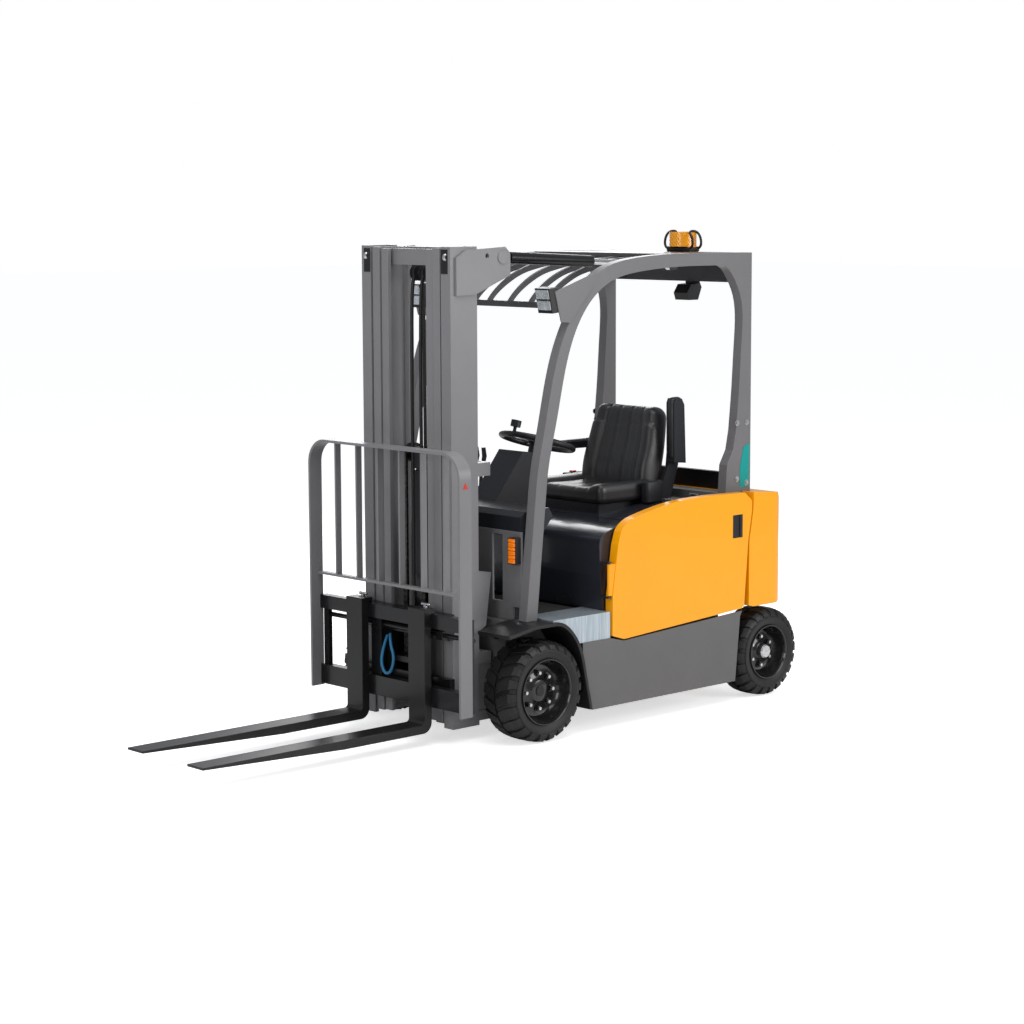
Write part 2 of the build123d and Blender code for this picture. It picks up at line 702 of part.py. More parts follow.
# Steer axle: a beam on a centre pad under the counterweight with an eye at each end for the kingpins
eye_radius = 32
eye_bottom = 152
eye_top = 278
with BuildPart() as steer_axle:
    with BuildSketch(front.offset(-wheelbase - steer_beam_half_depth)):
        with BuildLine():
            Polyline((-kingpin_x + 20, 160), (kingpin_x - 20, 160), (kingpin_x - 20, 270), (120, 300), (-120, 300),
                     (-kingpin_x + 20, 270), close=True)
        make_face()
    extrude(amount=2 * steer_beam_half_depth)
    with BuildSketch(plan.offset(290)):
        with Locations((0, wheelbase)):
            Rectangle(130, 110)
    extrude(amount=wheel_clear_height - 290)
    with BuildSketch(plan.offset(eye_bottom)):
        with Locations((-kingpin_x, wheelbase), (kingpin_x, wheelbase)):
            Circle(eye_radius)
    extrude(amount=eye_top - eye_bottom)
    with BuildSketch(plan.offset(eye_bottom - 20)):
        with Locations((-kingpin_x, wheelbase), (kingpin_x, wheelbase)):
            Circle(kingpin_radius + seat_gap)
    extrude(amount=200, mode=Mode.SUBTRACT)
steer_axle.part.label = "steer_axle"
export_step(steer_axle.part, "parts/steer_axle.step")

knuckle_web_inner = kingpin_x + eye_radius + moving_gap + 2
for hand, sign in (("left", 1), ("right", -1)):
    with BuildPart() as rear_knuckle:
        for arm_bottom in (eye_bottom - moving_gap - 20, eye_top + moving_gap):
            with BuildSketch(plan.offset(arm_bottom)):
                with Locations((sign * kingpin_x, wheelbase)):
                    Circle(30)
                with Locations((sign * (kingpin_x + knuckle_web_inner + 14) / 2, wheelbase)):
                    Rectangle(knuckle_web_inner + 14 - kingpin_x, 60)
            extrude(amount=20)
        with BuildSketch(plan.offset(eye_bottom - moving_gap - 20)):
            with Locations((sign * (knuckle_web_inner + 7), wheelbase)):
                Rectangle(14, 60)
            with Locations((sign * kingpin_x, wheelbase)):
                Circle(kingpin_radius)
        extrude(amount=eye_top - eye_bottom + 2 * moving_gap + 40)
        with BuildSketch(side.offset(sign * knuckle_web_inner)):
            with Locations((wheelbase, rear_wheel_radius)):
                Circle(rear_spindle_radius)
        extrude(amount=sign * (rear_outer_x - 58 - knuckle_web_inner))
    rear_knuckle.part.label = f"rear_knuckle_{hand}"
    export_step(rear_knuckle.part, f"parts/rear_knuckle_{hand}.step")


# Wheels: a solid tyre with rounded shoulders on a dished steel rim, turned about the axle
def wheel_sketch_plane(axle_distance, radius):
    return Plane(origin=(0, front_axle_y + axle_distance, radius), x_dir=(1, 0, 0), z_dir=(0, -1, 0))


for place, axle_distance, radius, width, outer_x, rim_radius, bore in (
        ("front", 0, front_wheel_radius, front_tyre_width, front_outer_x, front_rim_radius, spindle_radius + seat_gap),
        ("rear", wheelbase, rear_wheel_radius, rear_tyre_width, rear_outer_x, rear_rim_radius,
         rear_spindle_radius + seat_gap)):
    for hand, sign in (("left", 1), ("right", -1)):
        wheel_plane_here = wheel_sketch_plane(axle_distance, radius)
        inner_x = outer_x - width
        with BuildPart() as tyre:
            with BuildSketch(wheel_plane_here):
                with BuildLine():
                    Polyline((sign * (outer_x - 8), rim_radius), (sign * outer_x, rim_radius + 24),
                             (sign * outer_x, radius - tyre_shoulder), (sign * (outer_x - tyre_shoulder), radius),
                             (sign * (inner_x + tyre_shoulder), radius), (sign * inner_x, radius - tyre_shoulder),
                             (sign * inner_x, rim_radius + 24), (sign * (inner_x + 8), rim_radius), close=True)
                make_face()
            revolve(axis=Axis(wheel_plane_here.origin, (1, 0, 0)))
        tyre.part.label = f"{place}_tyre_{hand}"
        export_step(tyre.part, f"parts/{place}_tyre_{hand}.step")
        barrel = rim_radius - seat_gap
        disc_x = outer_x - 70
        with BuildPart() as rim:
            with BuildSketch(wheel_plane_here):
                with BuildLine():
                    Polyline((sign * (outer_x - 9), barrel), (sign * (inner_x + 9), barrel),
                             (sign * (inner_x + 9), barrel - 9), (sign * (disc_x - 14), barrel - 16),
                             (sign * (disc_x - 14), 60), (sign * (disc_x - 24), 60), (sign * (disc_x - 24), bore),
                             (sign * (disc_x + 30), bore), (sign * (disc_x + 30), 0), (sign * (disc_x + 42), 0),
                             (sign * (disc_x + 42), 40), (sign * (disc_x + 22), 56), (sign * disc_x, 62),
                             (sign * disc_x, barrel - 16), (sign * (outer_x - 9), barrel - 9), close=True)
                make_face()
            revolve(axis=Axis(wheel_plane_here.origin, (1, 0, 0)))
        rim.part.label = f"{place}_rim_{hand}"
        export_step(rim.part, f"parts/{place}_rim_{hand}.step")


# Outer mast: two channels with ties behind, arms to the drive axle, and plates at the top for the tilt cylinders
arm_inner_x = mast_half_width - 56
with BuildPart() as mast_outer_rails:
    with BuildSketch(plan.offset(mast_bottom)):
        with Locations((mast_half_width - rail_web / 2, (mast_front + mast_rear) / 2)):
            Rectangle(rail_web, mast_rear - mast_front)
        with Locations((mast_half_width - flange_reach / 2, mast_front + rail_flange / 2),
                       (mast_half_width - flange_reach / 2, mast_rear - rail_flange / 2)):
            Rectangle(flange_reach, rail_flange)
    extrude(amount=mast_top - mast_bottom)
    with BuildSketch(side.offset(arm_inner_x)):
        with BuildLine():
            Polyline((-160, 110), (-60, 150), (0, 150), (0, 310), (-60, 310), (-160, 420), close=True)
        make_face()
        with Locations((0, front_wheel_radius)):
            Circle(axle_tube_radius + 28)
        with Locations((0, front_wheel_radius)):
            Circle(axle_tube_radius + seat_gap, mode=Mode.SUBTRACT)
    extrude(amount=52)
    with BuildSketch(side.offset(tilt_x - tilt_eye_half - 4)):
        with Locations(tilt_eye):
            Circle(tilt_pin_radius)
    extrude(amount=mast_half_width - tilt_x + tilt_eye_half + 4)
    with BuildSketch(side.offset(mast_half_width)):
        with BuildLine():
            Polyline((-281, 1979), (-165, 1984), (38, 2062), (38, 2160), (8, 2188), (-222, 2177), (-281, 2143),
                     close=True)
        make_face()
        with Locations((-100, 2150)):
            Circle(11, mode=Mode.SUBTRACT)
    extrude(amount=12)
    with BuildSketch(side.offset(mast_half_width + 12)):
        with Locations(tilt_eye):
            Circle(28)
    extrude(amount=5)
    with BuildSketch(side.offset(mast_half_width - 12)):
        with BuildLine():
            Polyline((-160, 480), (-108, 509), (-76, 745), (-160, 760), close=True)
        make_face()
    extrude(amount=12)
    mirror(about=Plane.YZ)
    for tie_bottom, tie_height in ((2045, 70), (1180, 60), (338, 50)):
        with BuildSketch(plan.offset(tie_bottom)):
            with Locations((0, lift_barrel_y + lift_barrel_radius + 7)):
                Rectangle(2 * mast_half_width, 14)
            for leg_x in (-mast_half_width + 20, mast_half_width - 20):
                with Locations((leg_x, (mast_rear - 10 + lift_barrel_y + lift_barrel_radius + 14) / 2)):
                    Rectangle(40, lift_barrel_y + lift_barrel_radius + 24 - mast_rear)
        extrude(amount=tie_height)
    with BuildSketch(plan.offset(mast_bottom + 20)):
        with Locations((0, mast_rear + 28)):
            Rectangle(2 * mast_half_width, 60)
    extrude(amount=44)
mast_outer_rails.part.label = "mast_outer_rails"
export_step(mast_outer_rails.part, "parts/mast_outer_rails.step")

rod_gap = 0.4
lift_barrel_top = 1880
with BuildPart() as lift_barrels:
    with BuildSketch(plan.offset(mast_bottom + 64)):
        with Locations((lift_barrel_x, lift_barrel_y), (-lift_barrel_x, lift_barrel_y)):
            Circle(lift_barrel_radius)
            Circle(lift_rod_radius + rod_gap, mode=Mode.SUBTRACT)
    extrude(amount=lift_barrel_top - mast_bottom - 64)
lift_barrels.part.label = "lift_barrels"
export_step(lift_barrels.part, "parts/lift_barrels.step")


# Middle mast: each rail runs on wear pads in the outer channel; a tie joins them at the top and at the foot
middle_web_x = 206
middle_depth = 152
middle_bottom = 80
middle_top = 2186
slide_gap = 0.3
mast_middle = (mast_front + mast_rear) / 2
with BuildPart() as mast_middle_rails:
    with BuildSketch(plan.offset(middle_bottom)):
        with Locations((middle_web_x + rail_web / 2, mast_middle)):
            Rectangle(rail_web, middle_depth)
        with Locations((middle_web_x + 35, mast_middle - 44), (middle_web_x + 35, mast_middle + 44)):
            Rectangle(70, 16)
        with Locations((middle_web_x - 2, mast_middle - 66), (middle_web_x - 2, mast_middle + 66)):
            Rectangle(48, 20)
    extrude(amount=middle_top - middle_bottom)
    for pad_side in (-1, 1):
        pad_back = mast_middle + pad_side * 52
        pad_face = mast_middle + pad_side * ((mast_rear - mast_front) / 2 - rail_flange - slide_gap)
        with BuildSketch(plan.offset(middle_bottom + 20)):
            with Locations((middle_web_x + 54, (pad_back + pad_face) / 2)):
                Rectangle(26, abs(pad_face - pad_back))
        extrude(amount=120)
    mirror(about=Plane.YZ)
    with BuildSketch(plan.offset(middle_top - 30)):
        with Locations((0, mast_middle + middle_depth / 2 + 28)):
            Rectangle(2 * lift_barrel_x + 60, 56)
    extrude(amount=30)
    with BuildSketch(plan.offset(middle_bottom + 54)):
        with Locations((0, mast_middle + middle_depth / 2 + 2.5)):
            Rectangle(2 * middle_web_x + 30, 5)
        with Locations((0, mast_middle + middle_depth / 2 + 12)):
            Rectangle(2 * middle_web_x - 76, 24)
    extrude(amount=70)
mast_middle_rails.part.label = "mast_middle_rails"
export_step(mast_middle_rails.part, "parts/mast_middle_rails.step")

with BuildPart() as lift_rods:
    with BuildSketch(plan.offset(mast_bottom + 80)):
        with Locations((lift_barrel_x, lift_barrel_y), (-lift_barrel_x, lift_barrel_y)):
            Circle(lift_rod_radius)
    extrude(amount=middle_top - 30 - mast_bottom - 80)
lift_rods.part.label = "lift_rods"
export_step(lift_rods.part, "parts/lift_rods.step")


# Inner mast: the rails that the carriage rolls in, with a top tie and the foot that carries the free lift cylinder
inner_web_x = 154
inner_web = 14
inner_depth = 140
inner_bottom = 84
inner_top = 2180
with BuildPart() as mast_inner_rails:
    with BuildSketch(plan.offset(inner_bottom)):
        with Locations((inner_web_x + inner_web / 2, mast_middle)):
            Rectangle(inner_web, inner_depth)
        with Locations((inner_web_x + 23, mast_middle - 40), (inner_web_x + 23, mast_middle + 40)):
            Rectangle(46, 14)
        with Locations((inner_web_x - 3, mast_middle - 60), (inner_web_x - 3, mast_middle + 60)):
            Rectangle(46, 20)
    extrude(amount=inner_top - inner_bottom)
    for pad_side in (-1, 1):
        pad_back = mast_middle + pad_side * 47
        pad_face = mast_middle + pad_side * (56 - slide_gap)
        with BuildSketch(plan.offset(inner_bottom + 20)):
            with Locations((inner_web_x + 35, (pad_back + pad_face) / 2)):
                Rectangle(16, abs(pad_face - pad_back))
        extrude(amount=120)
    mirror(about=Plane.YZ)
    with BuildSketch(plan.offset(inner_top - 72)):
        with Locations((0, mast_middle - 22)):
            Rectangle(2 * inner_web_x, 22)
    extrude(amount=72)
    with BuildSketch(plan.offset(inner_bottom + 72)):
        with Locations((0, free_lift_y)):
            Rectangle(2 * inner_web_x, 84)
    extrude(amount=24)
mast_inner_rails.part.label = "mast_inner_rails"
export_step(mast_inner_rails.part, "parts/mast_inner_rails.step")

free_lift_top = 1190
free_lift_rod_radius = 30
with BuildPart() as free_lift_barrel:
    with BuildSketch(plan.offset(inner_bottom + 96)):
        with Locations((0, free_lift_y)):
            Circle(free_lift_radius)
            Circle(free_lift_rod_radius + rod_gap, mode=Mode.SUBTRACT)
    extrude(amount=free_lift_top - inner_bottom - 96)
free_lift_barrel.part.label = "free_lift_barrel"
export_step(free_lift_barrel.part, "parts/free_lift_barrel.step")

# Free lift head: the rod with a crosshead and a chain wheel on each side
chain_x = 62
chain_wheel_radius = 44
chain_wheel_height = 1268
with BuildPart() as free_lift_head:
    with BuildSketch(plan.offset(inner_bottom + 110)):
        with Locations((0, free_lift_y)):
            Circle(free_lift_rod_radius)
    extrude(amount=free_lift_top + 40 - inner_bottom - 110)
    with BuildSketch(plan.offset(free_lift_top + 10)):
        with Locations((0, free_lift_y)):
            Rectangle(84, 64)
    extrude(amount=96)
    for wheel_x in (-chain_x - 14, chain_x - 14):
        with BuildSketch(side.offset(wheel_x)):
            with Locations((free_lift_y, chain_wheel_height)):
                Circle(chain_wheel_radius)
        extrude(amount=28)
    with BuildSketch(side.offset(-chain_x)):
        with Locations((free_lift_y, chain_wheel_height)):
            Circle(12)
    extrude(amount=2 * chain_x)
free_lift_head.part.label = "free_lift_head"
export_step(free_lift_head.part, "parts/free_lift_head.step")


# Carriage: side plates with rollers in the inner rails, and two plates across in front of the rails
carriage_bottom = 175
carriage_top = 590
side_plate_x = 98
rod_height = 497
rod_radius = 11
with BuildPart() as carriage:
    with BuildSketch(side.offset(side_plate_x)):
        with BuildLine():
            Polyline((-330, carriage_bottom + 20), (-190, 215), (-190, 560), (-330, carriage_top - 10), close=True)
        make_face()
    extrude(amount=16)
    for roller_height in (265, 505):
        with BuildSketch(side.offset(side_plate_x + 16)):
            with Locations((mast_middle, roller_height)):
                Circle(inner_depth / 2 - 20 - slide_gap)
        extrude(amount=34)
    mirror(about=Plane.YZ)
    for plate_bottom, plate_height in ((carriage_bottom + 20, 100), (470, 115)):
        with BuildSketch(plan.offset(plate_bottom)):
            with Locations((0, -329)):
                Rectangle(640, 28)
        extrude(amount=plate_height)
    with BuildSketch(side.offset(-side_plate_x)):
        with BuildLine():
            Polyline((-330, 330), (-262, 330), (-262, 356), (-330, 356), close=True)
        make_face()
    extrude(amount=2 * side_plate_x)
    with BuildSketch(front.offset(315)):
        with Locations((side_plate_x + 8, 390), (-side_plate_x - 8, 390)):
            Rectangle(60, 300)
    extrude(amount=28)
    for guide_x in (-300, 300):
        with BuildSketch(side.offset(guide_x - 20)):
            with Locations((bar_rear + 2, rod_height)):
                Rectangle(44, 38)
            with Locations((bar_rear, rod_height)):
                Circle(rod_radius + slide_gap, mode=Mode.SUBTRACT)
        extrude(amount=40)
    with BuildSketch(plan.offset(200)):
        for pad_x in (-220, 220):
            with Locations((pad_x, (bar_rear + slide_gap - 343) / 2)):
                Rectangle(60, -343 - bar_rear - slide_gap)
    extrude(amount=60)
carriage.part.label = "carriage"
export_step(carriage.part, "parts/carriage.step")

# Lift chains: from each chain wheel down to the carriage in front and to the foot of the inner mast behind
with BuildPart() as carriage_chains:
    with BuildSketch(plan.offset(356)):
        with Locations((-chain_x, free_lift_y - chain_wheel_radius - 6), (chain_x, free_lift_y - chain_wheel_radius - 6)):
            Rectangle(24, 11)
    extrude(amount=chain_wheel_height - 356)
carriage_chains.part.label = "carriage_chains"
export_step(carriage_chains.part, "parts/carriage_chains.step")


# Sideshift frame: two bars on slides in front of the carriage, with the chrome rod between its ends
with BuildPart() as fork_carriage:
    with BuildSketch(plan.offset(528)):
        with Locations((0, (bar_front + bar_rear) / 2)):
            Rectangle(2 * backrest_half_width - 24, bar_rear - bar_front)
    extrude(amount=62)
    with BuildSketch(plan.offset(carriage_bottom)):
        with Locations((0, (bar_front + bar_rear) / 2)):
            Rectangle(2 * backrest_half_width - 24, bar_rear - bar_front)
    extrude(amount=90)
    with BuildSketch(front.offset(-bar_rear)):
        with Locations((-130, 380), (130, 380)):
            Rectangle(70, 320)
        with Locations((-backrest_half_width + 30, 380), (backrest_half_width - 30, 380)):
            Rectangle(36, 320)
    extrude(amount=20)
    with BuildSketch(side.offset(-backrest_half_width + 14)):
        with Locations((bar_rear, rod_height)):
            Circle(rod_radius)
    extrude(amount=2 * backrest_half_width - 28)
fork_carriage.part.label = "fork_carriage"
export_step(fork_carriage.part, "parts/fork_carriage.step")

with BuildPart() as forks:
    for fork_centre in (-fork_x, fork_x):
        with BuildSketch(side.offset(fork_centre - fork_width / 2)):
            with BuildLine():
                Polyline((bar_front, fork_shank_top), (bar_front + 24, fork_shank_top), (bar_front + 24, 591),
                         (bar_front - 0.1, 591), (bar_front - 0.1, 110))
                RadiusArc((bar_front - 0.1, 110), (-455, fork_bottom), 48)
                Polyline((-455, fork_bottom), (-900, fork_bottom), (-fork_tip_reach, fork_top - 11),
                         (-fork_tip_reach, fork_top),
                         (fork_shank_front - 18, fork_top))
                RadiusArc((fork_shank_front - 18, fork_top), (fork_shank_front, fork_top + 18), -18)
                Polyline((fork_shank_front, fork_top + 18), (fork_shank_front, fork_shank_top),
                         (bar_front, fork_shank_top))
            make_face()
        extrude(amount=fork_width)
forks.part.label = "forks"
export_step(forks.part, "parts/forks.step")

# Load backrest: a side plate down to the lower bar on each side, a rounded top bar, a crossbar and upright bars
backrest_corner = 112
with BuildPart() as load_backrest:
    with BuildSketch(front.offset(-backrest_rear)):
        with Locations((0, (backrest_bottom + backrest_top) / 2)):
            RectangleRounded(2 * backrest_half_width, backrest_top - backrest_bottom, backrest_corner)
            RectangleRounded(2 * backrest_half_width - 24, backrest_top - backrest_bottom - 24, backrest_corner - 12,
                             mode=Mode.SUBTRACT)
        with Locations((0, backrest_bottom + 60)):
            Rectangle(2 * backrest_half_width - 24, 140, mode=Mode.SUBTRACT)
    extrude(amount=backrest_rear - backrest_front)
    with BuildSketch(front.offset(-backrest_rear)):
        for plate_side in (-1, 1):
            with Locations((plate_side * (backrest_half_width - 6), (backrest_bottom + 400) / 2)):
                Rectangle(12, 400 - backrest_bottom)
    extrude(amount=backrest_rear - backrest_front)
    with BuildSketch(front.offset(-backrest_rear)):
        with Locations((0, backrest_crossbar)):
            Rectangle(2 * backrest_half_width - 10, 12)
        with GridLocations(148.6, 1, 6, 1):
            with Locations((0, (backrest_crossbar + backrest_top) / 2)):
                Rectangle(10, backrest_top - backrest_crossbar - 10)
    extrude(amount=30)
load_backrest.part.label = "load_backrest"
export_step(load_backrest.part, "parts/load_backrest.step")


# Tilt cylinders: each barrel is pinned beside the mast's top plate; its rod's eye holds the pin under the roof
run_y = tilt_pivot[0] - tilt_eye[0]
run_z = tilt_pivot[1] - tilt_eye[1]
cylinder_length = sqrt(run_y ** 2 + run_z ** 2)
barrel_start = 60
barrel_end = 575
rod_start = 255
rod_eye_play = 3.6
for hand, sign in (("left", 1), ("right", -1)):
    cylinder_plane = Plane(origin=(sign * tilt_x, front_axle_y + tilt_eye[0], tilt_eye[1]), x_dir=(1, 0, 0),
                           z_dir=(0, run_y, run_z))
    with BuildPart() as tilt_barrel:
        with BuildSketch(side.offset(sign * tilt_x - tilt_eye_half)):
            with Locations(tilt_eye):
                Circle(tilt_pin_radius + 13)
        extrude(amount=2 * tilt_eye_half)
        with BuildSketch(cylinder_plane):
            Rectangle(24, 36)
        extrude(amount=barrel_start)
        with BuildSketch(cylinder_plane.offset(barrel_start)):
            Circle(tilt_barrel_radius)
        extrude(amount=barrel_end - barrel_start)
        with BuildSketch(cylinder_plane.offset(barrel_start + 20)):
            Circle(tilt_rod_radius + rod_gap)
        extrude(amount=barrel_end - barrel_start, mode=Mode.SUBTRACT)
        with BuildSketch(side.offset(sign * tilt_x - 40)):
            with Locations(tilt_eye):
                Circle(tilt_pin_radius + seat_gap)
        extrude(amount=80, mode=Mode.SUBTRACT)
    tilt_barrel.part.label = f"tilt_barrel_{hand}"
    export_step(tilt_barrel.part, f"parts/tilt_barrel_{hand}.step")
    with BuildPart() as tilt_rod:
        with BuildSketch(cylinder_plane.offset(rod_start)):
            Circle(tilt_rod_radius)
        extrude(amount=cylinder_length - rod_start)
        with BuildSketch(side.offset(sign * tilt_x - tilt_eye_half)):
            with Locations((tilt_pivot[0], tilt_pivot[1] + rod_eye_play)):
                Circle(tilt_pin_radius + rod_eye_play + 11)
        extrude(amount=2 * tilt_eye_half)
        with BuildSketch(side.offset(sign * tilt_x - 40)):
            with Locations((tilt_pivot[0], tilt_pivot[1] + rod_eye_play)):
                Circle(tilt_pin_radius + rod_eye_play + seat_gap)
        extrude(amount=80, mode=Mode.SUBTRACT)
    tilt_rod.part.label = f"tilt_rod_{hand}"
    export_step(tilt_rod.part, f"parts/tilt_rod_{hand}.step")
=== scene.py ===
import math

import bmesh
import bpy
from mathutils import Matrix, Vector


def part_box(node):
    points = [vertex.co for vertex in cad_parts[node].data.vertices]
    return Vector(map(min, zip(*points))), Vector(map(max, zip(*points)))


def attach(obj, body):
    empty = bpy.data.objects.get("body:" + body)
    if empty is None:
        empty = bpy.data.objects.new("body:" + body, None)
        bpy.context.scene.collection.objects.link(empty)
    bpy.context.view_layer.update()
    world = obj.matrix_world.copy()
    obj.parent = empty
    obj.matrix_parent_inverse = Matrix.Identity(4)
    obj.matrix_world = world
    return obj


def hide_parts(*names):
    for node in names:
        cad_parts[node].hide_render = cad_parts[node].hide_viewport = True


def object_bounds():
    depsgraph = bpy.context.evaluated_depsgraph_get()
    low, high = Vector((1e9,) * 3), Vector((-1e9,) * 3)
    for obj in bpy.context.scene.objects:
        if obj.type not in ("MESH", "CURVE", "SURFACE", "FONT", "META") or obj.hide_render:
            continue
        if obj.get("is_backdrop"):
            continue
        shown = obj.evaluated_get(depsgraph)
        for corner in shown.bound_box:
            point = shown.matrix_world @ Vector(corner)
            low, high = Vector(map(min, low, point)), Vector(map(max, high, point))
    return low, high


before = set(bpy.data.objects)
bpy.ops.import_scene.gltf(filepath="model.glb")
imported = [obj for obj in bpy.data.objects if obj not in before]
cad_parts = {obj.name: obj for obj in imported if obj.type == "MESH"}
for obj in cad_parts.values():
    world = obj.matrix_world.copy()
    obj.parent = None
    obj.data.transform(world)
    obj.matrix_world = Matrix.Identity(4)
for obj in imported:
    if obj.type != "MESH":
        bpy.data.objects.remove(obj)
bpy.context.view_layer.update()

# Studio: a seamless pale floor, a white surround that the paint and chrome can mirror, and soft lamps
# overhead and at the sides. The camera stands at the truck's left front corner, a little above the hood.
scene = bpy.context.scene
scene.view_settings.view_transform = "Standard"


def new_material(name):
    material = bpy.data.materials.new(name)
    material.use_nodes = True
    tree = material.node_tree
    tree.nodes.clear()
    out = tree.nodes.new("ShaderNodeOutputMaterial")
    return material, tree, out


def set_inputs(node, values):
    for label, value in values.items():
        node.inputs[label].default_value = value
    return node


floor_mesh = bpy.data.meshes.new("studio_floor")
floor_mesh.from_pydata([(-60, -60, 0), (60, -60, 0), (60, 60, 0), (-60, 60, 0)], [], [(0, 1, 2, 3)])
studio_floor = bpy.data.objects.new("studio_floor", floor_mesh)
scene.collection.objects.link(studio_floor)
studio_floor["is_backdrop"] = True
floor_finish, tree, out = new_material("studio_floor")
matt = set_inputs(tree.nodes.new("ShaderNodeBsdfDiffuse"), {"Color": (0.93, 0.93, 0.93, 1)})
speckle = set_inputs(tree.nodes.new("ShaderNodeTexNoise"), {"Scale": 60.0})
speckle_tint = tree.nodes.new("ShaderNodeValToRGB")
speckle_tint.color_ramp.elements[0].color = (0.92, 0.92, 0.92, 1)
speckle_tint.color_ramp.elements[1].color = (0.94, 0.94, 0.94, 1)
tree.links.new(speckle.outputs["Fac"], speckle_tint.inputs["Fac"])
tree.links.new(speckle_tint.outputs["Color"], matt.inputs["Color"])
glow = set_inputs(tree.nodes.new("ShaderNodeEmission"), {"Color": (1, 1, 1, 1), "Strength": 0.62})
both = tree.nodes.new("ShaderNodeAddShader")
seen = tree.nodes.new("ShaderNodeLightPath")
lit = tree.nodes.new("ShaderNodeMixShader")
tree.links.new(matt.outputs[0], both.inputs[0])
tree.links.new(glow.outputs[0], both.inputs[1])
tree.links.new(seen.outputs["Is Camera Ray"], lit.inputs["Fac"])
tree.links.new(matt.outputs[0], lit.inputs[1])
tree.links.new(both.outputs[0], lit.inputs[2])
tree.links.new(lit.outputs[0], out.inputs["Surface"])
floor_mesh.materials.append(floor_finish)

surround = bpy.data.worlds.new("surround")
scene.world = surround
surround.use_nodes = True
sky = surround.node_tree
sky.nodes.clear()
sky_out = sky.nodes.new("ShaderNodeOutputWorld")
room_light = set_inputs(sky.nodes.new("ShaderNodeBackground"), {"Color": (0.92, 0.95, 1.0, 1), "Strength": 0.42})
white = set_inputs(sky.nodes.new("ShaderNodeBackground"), {"Color": (1, 1, 1, 1), "Strength": 1.0})
paths = sky.nodes.new("ShaderNodeLightPath")
direct = sky.nodes.new("ShaderNodeMath")
direct.operation = "MAXIMUM"
choose = sky.nodes.new("ShaderNodeMixShader")
sky.links.new(paths.outputs["Is Camera Ray"], direct.inputs[0])
sky.links.new(paths.outputs["Is Transmission Ray"], direct.inputs[1])
sky.links.new(direct.outputs[0], choose.inputs["Fac"])
sky.links.new(room_light.outputs[0], choose.inputs[1])
sky.links.new(white.outputs[0], choose.inputs[2])
sky.links.new(choose.outputs[0], sky_out.inputs["Surface"])


def soft_lamp(name, place, aim, width, height, watts):
    lamp = bpy.data.lights.new(name, "AREA")
    lamp.shape = "RECTANGLE"
    lamp.size, lamp.size_y, lamp.energy = width, height, watts
    stand = bpy.data.objects.new(name, lamp)
    stand.location = place
    stand.rotation_euler = (Vector(aim) - Vector(place)).to_track_quat("-Z", "Y").to_euler()
    scene.collection.objects.link(stand)


soft_lamp("overhead_box", (1.0, -0.5, 5.6), (0, 0.2, 0.6), 4.5, 5.5, 210)
soft_lamp("left_box", (6.0, 3.4, 2.8), (0, 0.4, 0.9), 3.0, 3.0, 170)
soft_lamp("front_box", (2.2, -7.0, 3.0), (0, -0.4, 1.0), 3.0, 3.0, 120)
soft_lamp("back_box", (-5.0, 4.5, 3.5), (0, 0.2, 1.0), 3.0, 3.0, 110)

eye = Vector((8.33704, -7.44836, 2.41136))
turn, lift, lean = math.radians(47.11), math.radians(7.31), math.radians(-0.24)
back = Vector((math.sin(turn) * math.cos(lift), -math.cos(turn) * math.cos(lift), math.sin(lift)))
right = Vector((math.cos(turn), math.sin(turn), 0))
up = back.cross(right)
across = right * math.cos(lean) + up * math.sin(lean)
upright = up * math.cos(lean) - right * math.sin(lean)
camera = bpy.data.cameras.new("camera")
camera.lens, camera.sensor_width = 86.75, 36
camera.clip_end = 200
tripod = bpy.data.objects.new("camera", camera)
tripod.matrix_world = Matrix((across, upright, back)).transposed().to_4x4()
tripod.location = eye
scene.collection.objects.link(tripod)
scene.camera = tripod


# Painted chassis: welded steel plate in dark warm grey powder coat. The coat has a fine orange peel, and
# road dust settles low down and on faces that look up.
def effect_group(name, inputs, outputs):
    group = bpy.data.node_groups.new(name, "ShaderNodeTree")
    for label, kind, value in inputs:
        group.interface.new_socket(label, in_out="INPUT", socket_type=kind).default_value = value
    for label, kind in outputs:
        group.interface.new_socket(label, in_out="OUTPUT", socket_type=kind)
    return group, group.nodes.new("NodeGroupInput"), group.nodes.new("NodeGroupOutput")


def place_group(tree, group, values):
    node = tree.nodes.new("ShaderNodeGroup")
    node.node_tree = group
    return set_inputs(node, values)


orange_peel, given, made = effect_group(
    "orange_peel",
    [("Ripple per metre", "NodeSocketFloat", 260.0), ("Ripple height", "NodeSocketFloat", 0.08),
     ("Cloud per metre", "NodeSocketFloat", 2.2)],
    [("Cloud", "NodeSocketFloat"), ("Normal", "NodeSocketVector")])
place = orange_peel.nodes.new("ShaderNodeTexCoord")
ripple = set_inputs(orange_peel.nodes.new("ShaderNodeTexNoise"), {"Detail": 2.0, "Roughness": 0.45})
cloud = set_inputs(orange_peel.nodes.new("ShaderNodeTexNoise"), {"Detail": 4.0, "Roughness": 0.6})
peel = set_inputs(orange_peel.nodes.new("ShaderNodeBump"), {"Distance": 0.001})
orange_peel.links.new(place.outputs["Object"], ripple.inputs["Vector"])
orange_peel.links.new(place.outputs["Object"], cloud.inputs["Vector"])
orange_peel.links.new(given.outputs["Ripple per metre"], ripple.inputs["Scale"])
orange_peel.links.new(given.outputs["Cloud per metre"], cloud.inputs["Scale"])
orange_peel.links.new(given.outputs["Ripple height"], peel.inputs["Strength"])
orange_peel.links.new(ripple.outputs["Fac"], peel.inputs["Height"])
orange_peel.links.new(cloud.outputs["Fac"], made.inputs["Cloud"])
orange_peel.links.new(peel.outputs["Normal"], made.inputs["Normal"])

